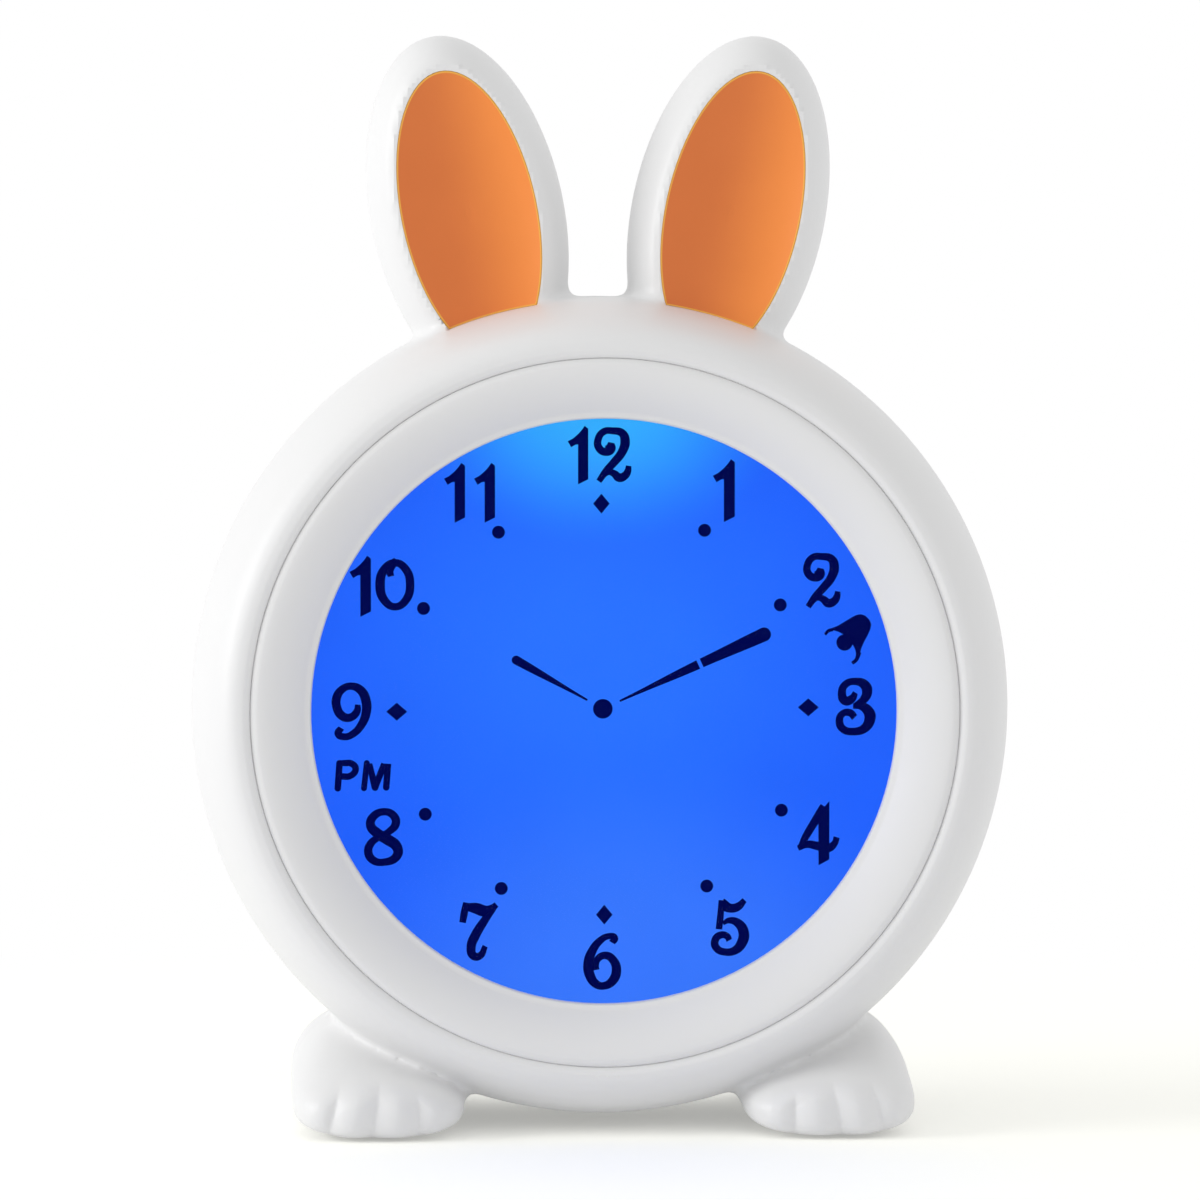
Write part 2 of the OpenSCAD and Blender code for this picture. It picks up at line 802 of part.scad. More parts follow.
module ear_board() {
    difference() {
        translate([0, 1, 0]) slab(ear_board_w / 2, ear_board_l / 2, -ear_board_t, 0);
        for (y = ear_posts) {
            translate([0, y, 0]) post(small_pilot_r + 0.2, -2, 1);
        }
    }
}

module ear_board_left() {
    color("white") stand() ear_place(-1) ear_board();
}

module ear_board_right() {
    color("white") stand() ear_place(1) ear_board();
}

module ear_leds() {
    color("lemonchiffon") stand() for (side = [-1, 1]) {
        ear_place(side) for (y = [-8, 1, 10]) {
            translate([0, y, 0]) difference() {
                slab(1.75, 1.4, 0, 1.3);
                post(1.1, 1.1, 2);
            }
        }
    }
}

module ear_board_screws() {
    color("silver") stand() for (side = [-1, 1]) {
        ear_place(side) for (y = ear_posts) {
            translate([0, y, 0]) screw(small_pilot_r, 5, 0, -1);
        }
    }
}

// ---- Keys ----------------------------------------------------------------------------------

// Board behind one column of buttons, with a foot that carries the switch or the power inlet
module key_board() {
    difference() {
        union() {
            translate([button_x, (1 + key_board_high) / 2, 0])
                slab(key_board_w / 2, (key_board_high - 1) / 2, key_back, key_front);
            translate([side_x - 3, (key_board_low + 5) / 2, 0])
                slab(10, (5 - key_board_low) / 2, key_back, key_front);
        }
        for (place = key_posts) {
            translate(place) post(small_pilot_r + 0.3, key_back - 1, key_front + 1);
        }
    }
}

module key_board_left() {
    color("seagreen") stand() side_place(-1) key_board();
}

module key_board_right() {
    color("seagreen") stand() side_place(1) key_board();
}

module key_board_screws() {
    color("silver") stand() for (side = [-1, 1]) {
        side_place(side) for (place = key_posts) {
            translate(place) screw(small_pilot_r, board_t + 5, key_front, -1);
        }
    }
}

module tact_switches() {
    color("black") stand() for (side = [-1, 1]) {
        for (row = [0:2]) {
            translate([side * button_x, button_y + row * button_pitch, 0]) difference() {
                slab(tact_side / 2, tact_side / 2, key_back - tact_h, key_back);
                post(plunger_r + run, key_back - tact_h - 1, key_back - tact_lid);
            }
        }
    }
}

module button(side, row) {
    color("lightgray") stand() translate([side * button_x, button_y + row * button_pitch, 0]) {
        difference() {
            union() {
                post(button_r, -back_depth - button_proud + 0.6, back_in + slack + eps);
                translate([0, 0, -back_depth - button_proud]) cylinder(r1 = button_r - 0.6, r2 = button_r, h = 0.6);
                post(button_r + 1.3, back_in + slack, back_in + slack + 1.2);
            }
            post(button_r - 1.4, -back_depth + 0.6, back_in + 3);
        }
        post(1.5, -back_depth, plunger_tip);
    }
}

module plunger(side, row) {
    color("darkred") stand() translate([side * button_x, button_y + row * button_pitch, 0])
        post(plunger_r, plunger_tip, plunger_end);
}

module alarm_switch_body() {
    color("silver") stand() translate([-side_x, switch_y, 0]) difference() {
        slab(5.4, 2.9, key_back - 5, key_back);
        slab(2.2 + switch_travel / 2 + loose, 1.3 + slack, key_back - 6, key_back - 2.6);
    }
}

module alarm_switch_knob() {
    color("black") stand() translate([-side_x - switch_travel / 2, switch_y, 0]) {
        slab(2.2, 1.3, key_back - 4.6, key_back - 2.6 - slack);
        slab(1.5, 1.1, -back_depth + 1, key_back - 4);
        difference() {
            slab(knob_w / 2, knob_h / 2, -back_depth - 0.8, -back_depth + 2.6);
            for (x = [-1, 0, 1]) {
                translate([x, 0, 0]) slab(0.2, knob_h, -back_depth - 1, -back_depth - 0.5);
            }
        }
    }
}

module dc_jack() {
    color("black") stand() translate([side_x, jack_y, 0]) {
        difference() {
            union() {
                slab(4.6, 4.6, back_in + 2, key_back);
                post(jack_nose_r, back_in, back_in + 3);
            }
            post(jack_bore_r, back_in - 1, key_back - 3);
        }
        post(jack_pin_r, back_in + 1.2, key_back - 2);
    }
}

// ---- Loudspeaker ---------------------------------------------------------------------------

module speaker_part() {
    color("dimgray") stand() translate([0, speaker_y, 0]) children();
}

module speaker_gasket() {
    speaker_part() tube(speaker_r, speaker_r - 1.6, back_in, back_in + gasket_t);
}

module speaker_frame() {
    flange_in = speaker_r - 2.5;
    speaker_part() rotate_extrude() polygon([[flange_in, back_in + gasket_t],
        [speaker_r, back_in + gasket_t], [speaker_r, basket_back], [flange_in + 0.6, basket_back],
        [magnet_r + 1.6, basket_end], [coil_r + 0.6, basket_end], [coil_r + 0.6, basket_end - 1],
        [magnet_r + 1, basket_end - 1], [flange_in, basket_back - 0.2]]);
}

module speaker_magnet() {
    speaker_part() difference() {
        post(magnet_r, basket_end, basket_end + magnet_h);
        post(coil_r + 0.6, basket_end - 1, basket_end + 2.5);
    }
}

module speaker_surround() {
    inner = cone_r + slack;
    outer = speaker_r - 1.8;
    low = back_in + gasket_t - 0.25;
    speaker_part() rotate_extrude() polygon([[inner, low], [outer, low], [outer, low + 0.25],
        [speaker_r - 2.6, low + 0.25], [speaker_r - 2.6, low + 0.7], [inner, low + 0.4]]);
}

module speaker_cone() {
    rim = back_in + 0.6 + cone_travel;
    speaker_part()
        rotate_extrude() polygon([[cone_r, rim], [cone_r, rim + 0.4], [coil_r, basket_end - 1.4],
            [coil_r, basket_end - 0.2], [coil_r - 0.4, basket_end - 0.2], [coil_r - 0.4, basket_end - 2],
            [0, basket_end - 3.2], [0, basket_end - 3.6], [coil_r, basket_end - 2.4],
            [cone_r - 0.8, rim]]);
}

module speaker_screws() {
    color("silver") stand() for (x = [-1, 1]) {
        translate([x * speaker_screw_x, speaker_y, 0])
            screw(small_pilot_r, 2.6, basket_back, -1);
    }
}

// ---- Batteries and their door --------------------------------------------------------------

module battery_door() {
    door_top = -back_depth;
    door_in = back_in - door_seat;
    color("white") stand() difference() {
        union() {
            translate([0, cell_y, 0]) slab(door_half_w, door_half_h, door_top, door_in);
            translate([0, door_screw_y, 0]) slab(tongue_half_w, tongue_half_h, door_top, door_in);
            for (x = [-18, 18]) {
                translate([x, cell_y - box_half_h + slack + 0.6, 0]) slab(3, 0.6, door_in - 0.5, door_in + 2);
            }
        }
        translate([0, door_screw_y, 0]) post(pilot_r + 0.3, door_top - 1, door_in + 1);
        translate([0, door_screw_y, 0]) post(captive_r + slack, door_top - 1, door_in - 0.8);
        for (k = [-2:2]) {
            translate([0, cell_y - 12 + 1.8 * k, 0]) slab(8, 0.4, door_top - 1, door_top + 0.5);
        }
    }
}

module door_screw() {
    color("silver") stand() translate([0, door_screw_y, 0]) difference() {
        union() {
            post(captive_r, -back_depth + 0.2, back_in - door_seat - 0.8);
            post(pilot_r - 0.06, -back_depth + 0.4, back_in + 6);
        }
        translate([0, 0, -back_depth]) slab(2.2, 0.35, -1, 0.7);
        translate([0, 0, -back_depth]) slab(0.35, 2.2, -1, 0.7);
    }
}

module cell_place(k) {
    translate([0, cell_y + k * cell_pitch, cell_z]) rotate([0, (k == 0) ? -90 : 90, 0]) children();
}

module batteries() {
    shift = spring_l / 2;
    color("darkseagreen") stand() for (k = [-1:1]) {
        cell_place(k) translate([0, 0, -cell_l / 2 + shift]) {
            cylinder(r = cell_d / 2, h = cell_l - 1);
            cylinder(r = 2.75, h = cell_l);
        }
    }
}

module battery_springs() {
    turns = 4;
    steps = 10;
    wire_r = 0.4;
    start = -cell_l / 2 + spring_l / 2 - wire_r - 0.02;
    length = spring_l - wire_r * 2 - 0.2;
    color("silver") stand() for (k = [-1:1]) {
        cell_place(k) wire([for (i = [0:turns * steps]) let (part = i / (turns * steps), r = 3 + 2.2 * part)
            [r * cos(360 * i / steps), r * sin(360 * i / steps), start - length * part]],
            wire_r, 6, [0, 0, 1]);
    }
}

module battery_contacts() {
    color("silver") stand() for (k = [-1:1]) {
        cell_place(k) {
            slab(6, 6, box_half_w - contact_t, box_half_w);
            slab(6, 6, -box_half_w, -box_half_w + contact_t);
        }
    }
}

// ---- Wires ---------------------------------------------------------------------------------

// Each pair or ribbon leaves its part, crosses the casing in one soft bend and drops into its header
module power_wires() {
    color("firebrick") stand() for (k = [0, 1]) {
        wire(bezier([[box_half_w - 2 - 3 * k, cell_y - 16, box_floor + box_wall + wire_r],
            [24 - 3 * k, -40, box_floor + 12], [11 - 1.9 * k, -48, plug_z - 14],
            [10.8 - 1.6 * k, -48, plug_z]], 10), wire_r, 8, [1, 0, 0]);
        wire(bezier([[side_x - 8, jack_y + 2 * k, key_front + wire_r], [40, jack_y + 2 * k, -2],
            [26, -16.9 + 1.9 * k, plug_z - 12], [26, -16.8 + 1.6 * k, plug_z]], 10),
            wire_r, 8, [0, 1, 0]);
    }
}

module speaker_wires() {
    color("dimgray") stand() for (k = [0, 1]) {
        wire(bezier([[-3 + 6 * k, speaker_y - magnet_r - 1, basket_end + wire_r],
            [-3 + 6 * k, speaker_y - 13, basket_end + 6], [-0.9 + 1.8 * k, 14, plug_z - 12],
            [-0.8 + 1.6 * k, 14, plug_z]], 10), wire_r, 8, [1, 0, 0]);
    }
}

module ear_wires() {
    color("orange") stand() for (side = [-1, 1]) {
        for (k = [0, 1]) {
            side_place(side) wire(bezier([ear_lead(k), ear_lead(k) + [-1, -14, -5],
                [11.1 + 1.8 * k, 15, plug_z - 14], [11.2 + 1.6 * k, 14, plug_z]], 12),
                wire_r, 8, [1, 0, 0]);
        }
    }
}

// Point where a lead leaves the lower end of an ear board
function ear_lead(k) = let (across = -1.5 + 3 * k, down = -ear_board_l / 2 + 3)
    [ear_dist * sin(ear_spread) + across * cos(ear_tilt) + down * sin(ear_tilt),
        ear_dist * cos(ear_spread) - across * sin(ear_tilt) + down * cos(ear_tilt),
        -ear_board_t - wire_r];

module key_wires() {
    color("slategray") stand() for (side = [-1, 1]) {
        for (k = [0:2]) {
            side_place(side) wire(bezier([[button_x - 5 + 1.5 * k, 9, key_front + 0.5],
                [button_x - 6 + 1.5 * k, 6, key_front + 6], [24.7 + 1.3 * k, -3.6, plug_z - 12],
                [24.8 + 1.2 * k, -3.6, plug_z]], 10), 0.5, 6, [1, 0, 0]);
        }
    }
}

module time_button() { button(1, 2); }
module alarm_button() { button(-1, 2); }
module snooze_button() { button(1, 1); }
module light_button() { button(-1, 1); }
module up_button() { button(1, 0); }
module down_button() { button(-1, 0); }
module time_plunger() { plunger(1, 2); }
module alarm_plunger() { plunger(-1, 2); }
module snooze_plunger() { plunger(1, 1); }
module light_plunger() { plunger(-1, 1); }
module up_plunger() { plunger(1, 0); }
module down_plunger() { plunger(-1, 0); }

front_shell();
rear_shell();
bezel_ring();
display_window();
lcd_panel();
diffuser_film();
light_guide();
reflector_sheet();
display_frame();
backlight_board();
backlight_leds();
lcd_connector();
main_board();
controller_chip();
board_components();
wire_headers();
ear_panel_left();
ear_panel_right();
ear_board_left();
ear_board_right();
ear_leds();
ear_board_screws();
key_board_left();
key_board_right();
tact_switches();
key_board_screws();
time_button();
alarm_button();
snooze_button();
light_button();
up_button();
down_button();
time_plunger();
alarm_plunger();
snooze_plunger();
light_plunger();
up_plunger();
down_plunger();
alarm_switch_body();
alarm_switch_knob();
speaker_frame();
speaker_magnet();
speaker_surround();
speaker_cone();
speaker_gasket();
speaker_screws();
battery_door();
door_screw();
batteries();
battery_springs();
battery_contacts();
dc_jack();
foot_pads();
shell_screws();
frame_screws();
board_screws();
power_wires();
speaker_wires();
ear_wires();
key_wires();
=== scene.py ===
import math

import bpy
from mathutils import Matrix, Vector
from mathutils.bvhtree import BVHTree


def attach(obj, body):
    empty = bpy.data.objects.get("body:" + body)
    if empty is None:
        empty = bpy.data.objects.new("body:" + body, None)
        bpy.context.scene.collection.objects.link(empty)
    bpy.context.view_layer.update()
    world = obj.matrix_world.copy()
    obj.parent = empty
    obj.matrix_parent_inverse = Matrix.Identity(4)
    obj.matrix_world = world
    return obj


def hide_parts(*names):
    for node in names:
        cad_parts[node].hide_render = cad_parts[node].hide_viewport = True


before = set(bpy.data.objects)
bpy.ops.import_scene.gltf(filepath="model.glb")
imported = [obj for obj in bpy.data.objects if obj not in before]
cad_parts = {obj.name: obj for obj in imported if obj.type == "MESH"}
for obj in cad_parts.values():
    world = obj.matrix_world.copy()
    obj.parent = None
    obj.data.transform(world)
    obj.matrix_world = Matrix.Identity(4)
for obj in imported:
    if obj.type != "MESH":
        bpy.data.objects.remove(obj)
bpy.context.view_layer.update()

bpy.ops.object.select_all(action="DESELECT")

# ---- Studio ------------------------------------------------------------------------------------
# A pale floor, white all round, a large soft lamp on the left and a weaker one on the right. The camera
# stands 1.2 m in front of the clock, a little to its left and above the middle of its face.

HEAD_Z = 0.077
CAMERA_DISTANCE = 1.2
CAMERA_TURN = math.radians(-2.78)
CAMERA_RISE = math.radians(4.06)
CAMERA_AIM = Vector((0.00038, 0, HEAD_Z + 0.01889))
CAMERA_LENS = 194.6

place = Vector((0, 0, HEAD_Z)) + CAMERA_DISTANCE * Vector((
    math.sin(CAMERA_TURN) * math.cos(CAMERA_RISE),
    -math.cos(CAMERA_TURN) * math.cos(CAMERA_RISE),
    math.sin(CAMERA_RISE)))
bpy.ops.object.camera_add(location=place, rotation=(CAMERA_AIM - place).to_track_quat("-Z", "Y").to_euler())
camera = bpy.context.object
camera.data.lens = CAMERA_LENS
camera.data.sensor_width = 36
camera.data.clip_start = 0.05
bpy.context.scene.camera = camera
bpy.context.scene.view_settings.view_transform = "Standard"


def fit(node, **values):
    """Sets some of a node's settings and inputs, and links each input that is given a socket."""
    for key, value in values.items():
        name = key.replace("_", " ")
        if hasattr(node, key):
            setattr(node, key, value)
        elif isinstance(value, bpy.types.NodeSocket):
            node.id_data.links.new(value, node.inputs[name])
        else:
            node.inputs[name].default_value = value
    return node


def add(tree, kind, **values):
    """A new node with some of its settings, inputs and links."""
    return fit(tree.nodes.new(kind), **values)


def reckon(tree, operation, *terms, vectors=False):
    """What comes of a sum on numbers or vectors, each given as it is or as a socket."""
    node = add(tree, "ShaderNodeVectorMath" if vectors else "ShaderNodeMath", operation=operation)
    for term, socket in zip(terms, node.inputs):
        if isinstance(term, bpy.types.NodeSocket):
            tree.links.new(term, socket)
        else:
            socket.default_value = term
    return node.outputs["Vector" if vectors and operation != "LENGTH" else "Value"]


def between(tree, share, first, second):
    """A colour between two, each given as it is or as a socket: the second where the share is 1."""
    return add(tree, "ShaderNodeMix", data_type="RGBA", Factor=share, A=first, B=second).outputs["Result"]


def blend(tree, share, first, second, out):
    """Shows a mix of two shaders: the second where the share is 1."""
    mix = add(tree, "ShaderNodeMixShader")
    for source, socket in zip((share, first.outputs[0], second.outputs[0]), mix.inputs):
        tree.links.new(source, socket)
    tree.links.new(mix.outputs[0], out.inputs[0])


def background_rays(tree):
    """1 for a ray of the camera, and for one that reaches the background by way of metal or glass."""
    path = add(tree, "ShaderNodeLightPath").outputs
    mirrored = reckon(tree, "MAXIMUM", path["Is Camera Ray"], path["Is Glossy Ray"])
    return reckon(tree, "MAXIMUM", mirrored, path["Is Transmission Ray"])


WHITE = (1, 1, 1, 1)
ROOM_LIGHT = 0.77
world = bpy.data.worlds.new("white_room")
bpy.context.scene.world = world
world.use_nodes = True
world.node_tree.nodes.clear()
blend(world.node_tree, background_rays(world.node_tree),
      add(world.node_tree, "ShaderNodeBackground", Color=WHITE, Strength=ROOM_LIGHT),
      add(world.node_tree, "ShaderNodeBackground", Color=WHITE, Strength=1),
      add(world.node_tree, "ShaderNodeOutputWorld"))


def soft_lamp(name, at, aim, size, power):
    """A square soft box at one place, turned to another."""
    at, aim = Vector(at), Vector(aim)
    bpy.ops.object.light_add(type="AREA", location=at, rotation=(aim - at).to_track_quat("-Z", "Y").to_euler())
    lamp = bpy.context.object
    lamp.name = name
    lamp.data.shape = "SQUARE"
    lamp.data.size = size
    lamp.data.energy = power


soft_lamp("key_lamp", (-1.35, -0.3, 0.46), (0, 0, 0.1), 0.76, 7.9)
soft_lamp("fill_lamp", (1.35, -0.15, 0.3), (0, 0, 0.1), 0.9, 0.3)


def fresh(name):
    """A fresh material, its node tree and its shader."""
    material = bpy.data.materials.new(name)
    material.use_nodes = True
    return material, material.node_tree, material.node_tree.nodes["Principled BSDF"]


# The floor is matt paper near the clock, and fades to plain white further out
PAPER = (0.8, 0.8, 0.8, 1)
PAPER_SEEN = (1.03, 1.03, 0.9682, 1)
PAPER_GLOW = 0.16
PAPER_SIZE, FADE_NEAR, FADE_FAR = 6, 0.1, 0.3
bpy.ops.mesh.primitive_plane_add(size=PAPER_SIZE, location=(0, 0, 0))
floor = bpy.context.object
floor.name = "floor"
paper, tree, shader = fresh("white_paper")
tree.nodes.remove(shader)
spread = reckon(tree, "LENGTH", add(tree, "ShaderNodeTexCoord").outputs["Object"], vectors=True)
fade = add(tree, "ShaderNodeMapRange", interpolation_type="SMOOTHSTEP", Value=spread,
           From_Min=FADE_NEAR, From_Max=FADE_FAR)
matt = add(tree, "ShaderNodeBsdfDiffuse", Color=between(tree, background_rays(tree), PAPER, PAPER_SEEN))
glow = add(tree, "ShaderNodeEmission", Color=WHITE, Strength=PAPER_GLOW)
near_floor = add(tree, "ShaderNodeAddShader")
tree.links.new(matt.outputs[0], near_floor.inputs[0])
tree.links.new(glow.outputs[0], near_floor.inputs[1])
blend(tree, reckon(tree, "MULTIPLY", fade.outputs["Result"], background_rays(tree)), near_floor,
      add(tree, "ShaderNodeEmission", Color=WHITE, Strength=1), tree.nodes["Material Output"])
floor.data.materials.append(paper)

# ---- Casing ------------------------------------------------------------------------------------
# Two halves moulded in satin white ABS: a round head with a soft rim, two ears and two paws, parted in
# the plane through the ears. Shapes are given in millimetres from the head's centre, seen from the front:
# x to the right, y up and depth towards the viewer.

MM = 0.001
HEAD_R, SIDE_H = 75, 6
RIM_ARC_R, RIM_TOP = 66.0, 30.75
BACK_R, BACK_DEPTH = 66.5, 30
SKIN_VOXEL = 0.85

WALL = 2.2
INNER_R = HEAD_R - WALL
CREST_R, RIM_FRONT = 65.7, 32
GUTTER_R = 67
LEDGE_R, LEDGE_FRONT, LEDGE_BACK = 57.6, 26.5, 24.9
GROOVE_R, ROLL_W, ROLL_HIGH = 64.1, 1.7, 2.3
ARC_SHARE = 0.82
SEAM_BEVEL = 0.22
CLEAR, SINK = 0.1, 0.3
FLAT_FRONT, FLAT_BACK = -0.9999998, 0.99999
GRAIN_DEPTH, GLOSS_SPREAD = 0.0001, 0.04

EAR_HALF_W, EAR_HALF_H = 17.8, 33.1
EAR_X, EAR_Y, EAR_TILT = 24.06, 90.25, 12
EAR_WALL, HOLLOW_BACK, HOLLOW_FRONT = 3, -6.6, 7
LENS_HALF_W, LENS_HALF_H = 12.4, 26.3
POCKET_BACK, POCKET_FRONT, POCKET_END_R = 6, 16, HEAD_R - 0.6
LENS_SEAT, SEAT_FROM, SEAT_REACH = 12.55, 11, 1.06

FOOT_X, PAW_ROUND = 41.0, 2 / 3
PAD_X, PAD_DEPTH, PAD_R, PAD_TOP = 41.1, 19.8, 5.5, 1.3
TOES_FROM, TOES_TOP, TOES_CLEAR = 23, 12.5, 0.6
TOE_LINES = ((34.0, 34.0), (41.0, 42.5), (48.2, 50.5))
TOE_LINE_TOP, TOE_HALF, TOE_GROOVE = 9.5, 4.3, 1.25


def at(x, y, depth):
    """A point given from the head's centre, in the scene's metres."""
    return Vector((x * MM, -depth * MM, HEAD_Z + y * MM))


def arc(cx, cy, rx, ry, start, end, count):
    """Points along part of an ellipse, angles in degrees."""
    steps = [math.radians(start + (end - start) * i / count) for i in range(count + 1)]
    return [(cx + rx * math.cos(t), cy + ry * math.sin(t)) for t in steps]


def pick(piece):
    """Makes a piece the only one that is worked on."""
    bpy.ops.object.select_all(action="DESELECT")
    piece.select_set(True)
    bpy.context.view_layer.objects.active = piece


def edit(piece):
    """Opens a piece for shaping, with nothing selected."""
    pick(piece)
    bpy.ops.object.mode_set(mode="EDIT")
    bpy.ops.mesh.select_mode(type="VERT")
    bpy.ops.mesh.select_all(action="DESELECT")


def close_up(piece):
    """Merges what doubles, turns the faces outwards and leaves edit mode."""
    bpy.ops.mesh.select_all(action="SELECT")
    bpy.ops.mesh.remove_doubles(threshold=2e-6)
    bpy.ops.mesh.normals_make_consistent(inside=False)
    bpy.ops.object.mode_set(mode="OBJECT")


def settle(piece):
    """Puts a piece's place, turn and size into its mesh."""
    pick(piece)
    bpy.ops.object.transform_apply(location=True, rotation=True, scale=True)


def apply(piece, kind, **settings):
    """Adds a modifier with its settings and applies it."""
    modifier = piece.modifiers.new(kind.lower(), kind)
    for key, value in settings.items():
        setattr(modifier, key, value)
    bpy.context.view_layer.objects.active = piece
    bpy.ops.object.modifier_apply(modifier=modifier.name)


def cut(piece, tool, how="DIFFERENCE"):
    """Takes a tool's shape out of a piece, or with how adds it or keeps only what is inside it."""
    apply(piece, "BOOLEAN", operation=how, object=tool, solver="MANIFOLD")
    bpy.data.objects.remove(tool)


def join(first, *rest):
    """Makes one object of several."""
    pick(first)
    for piece in rest:
        piece.select_set(True)
    bpy.ops.object.join()
    return first


def twin(piece, name):
    """A copy with a mesh of its own."""
    copy = piece.copy()
    copy.data = piece.data.copy()
    copy.name = name
    bpy.context.collection.objects.link(copy)
    return copy


def turned(name, outline, y=0, steps=48):
    """A closed piece turned on an axis that runs towards the viewer, from its (radius, depth) outline."""
    bpy.ops.mesh.primitive_plane_add(size=MM, location=at(outline[0][0], y, outline[0][1]))
    piece = bpy.context.object
    piece.name = name
    edit(piece)
    bpy.ops.mesh.select_all(action="SELECT")
    bpy.ops.mesh.merge(type="CENTER")
    for (r0, d0), (r1, d1) in zip(outline, outline[1:]):
        bpy.ops.mesh.extrude_vertices_move(TRANSFORM_OT_translate={
            "value": ((r1 - r0) * MM, -(d1 - d0) * MM, 0)})
    bpy.ops.mesh.select_all(action="SELECT")
    bpy.ops.mesh.spin(steps=steps, angle=2 * math.pi, center=at(0, y, 0), axis=(0, 1, 0))
    close_up(piece)
    settle(piece)
    return piece


def stacked(name, rings, sides=72):
    """A closed piece of elliptical slices, each with its half width, half height and depth."""
    w, h, d = rings[0]
    bpy.ops.mesh.primitive_circle_add(vertices=sides, radius=1, fill_type="NGON", location=at(0, 0, d),
                                      rotation=(math.pi / 2, 0, 0))
    piece = bpy.context.object
    piece.name = name
    piece.scale = (w * MM, h * MM, 1)
    settle(piece)
    edit(piece)
    bpy.ops.mesh.select_all(action="SELECT")
    for (w0, h0, d0), (w1, h1, d1) in zip(rings, rings[1:]):
        bpy.ops.mesh.extrude_region_move(TRANSFORM_OT_translate={"value": (0, -(d1 - d0) * MM, 0)})
        bpy.ops.transform.resize(value=(w1 / w0, 1, h1 / h0), center_override=at(0, 0, d1))
    close_up(piece)
    return piece


def lean(piece, degrees, x, y):
    """Turns a piece clockwise about the head's middle and moves it to its place."""
    turn = Matrix.Rotation(math.radians(degrees), 4, "Y")
    piece.data.transform(Matrix.Translation(at(x, y, 0)) @ turn @ Matrix.Translation(-at(0, 0, 0)))


def moulded(name, colour, rough=0.4, grain=0.06, grain_size=0.35, tone=0.03, patch=14, metal=0.0,
            specular=0.5):
    """A finish with fine grain and faint unevenness of tone and gloss; sizes of grain and patch in mm."""
    material, tree, shader = fresh(name)
    coords = add(tree, "ShaderNodeTexCoord").outputs["Object"]
    patches = add(tree, "ShaderNodeTexNoise", Vector=coords, Scale=1000 / patch, Detail=3).outputs["Fac"]
    fine = add(tree, "ShaderNodeTexNoise", Vector=coords, Scale=1000 / grain_size, Detail=2)
    shade = between(tree, patches, (*[c * (1 - tone) for c in colour], 1),
                    (*[min(1, c * (1 + tone)) for c in colour], 1))
    gloss = add(tree, "ShaderNodeMapRange", Value=patches, To_Min=rough - GLOSS_SPREAD,
                To_Max=rough + GLOSS_SPREAD)
    bump = add(tree, "ShaderNodeBump", Strength=grain, Distance=GRAIN_DEPTH, Height=fine.outputs["Fac"])
    fit(shader, Base_Color=shade, Roughness=gloss.outputs["Result"], Normal=bump.outputs["Normal"],
        Metallic=metal, Specular_IOR_Level=specular)
    return material


def finish(material, *pieces):
    """Gives pieces, or CAD nodes by name, one material."""
    for piece in pieces:
        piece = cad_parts[piece] if isinstance(piece, str) else piece
        piece.data.materials.clear()
        piece.data.materials.append(material)


def smooth(piece, angle=40):
    """Smooth shading, except over edges sharper than the angle and on flat fronts and backs."""
    pick(piece)
    bpy.ops.object.shade_smooth_by_angle(angle=math.radians(angle))
    for face in piece.data.polygons:
        face.use_smooth = FLAT_FRONT < face.normal.y < FLAT_BACK
    apply(piece, "WEIGHTED_NORMAL", keep_sharp=True)


def inside(node, name, room):
    """What a CAD node has inside a room: its screw posts, ribs, seats, hooks and openings."""
    piece = bpy.data.objects.new(name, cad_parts[node].data.copy())
    bpy.context.collection.objects.link(piece)
    edit(piece)
    bpy.ops.mesh.select_all(action="SELECT")
    bpy.ops.mesh.remove_doubles(threshold=1e-6)
    bpy.ops.object.mode_set(mode="OBJECT")
    cut(piece, room, "INTERSECT")
    return piece


def fade_in(value, start, full):
    """0 before the start, 1 past full, and evenly between."""
    return min(1, max(0, (value - start) / (full - start)))


head = turned("head", [(0, -BACK_DEPTH)]
              + arc(BACK_R, -SIDE_H, HEAD_R - BACK_R, BACK_DEPTH - SIDE_H, 270, 360, 14)
              + arc(RIM_ARC_R, SIDE_H, HEAD_R - RIM_ARC_R, RIM_TOP - SIDE_H, 0, 90, 22)
              + [(0, RIM_TOP)], steps=192)

# Rings of the ear: inset from its outline, depth
ear_rings = [(7.2, -12), (4.8, -11.5), (2.9, -10.3), (1.4, -8.2), (0.5, -5.5), (0.05, -2.5), (0, 0),
             (0.18, 3), (0.64, 5.5), (1.35, 7.8), (2.2, 9.7), (3.25, 11.3), (4.1, 12.2), (4.8, 12.6),
             (6, 12.7), (7.5, 12.7)]
ear = stacked("ear", [(EAR_HALF_W - inset, EAR_HALF_H - inset * (1.2 if depth > 0 else 1), depth)
                      for inset, depth in ear_rings])
lean(ear, EAR_TILT, EAR_X, EAR_Y)

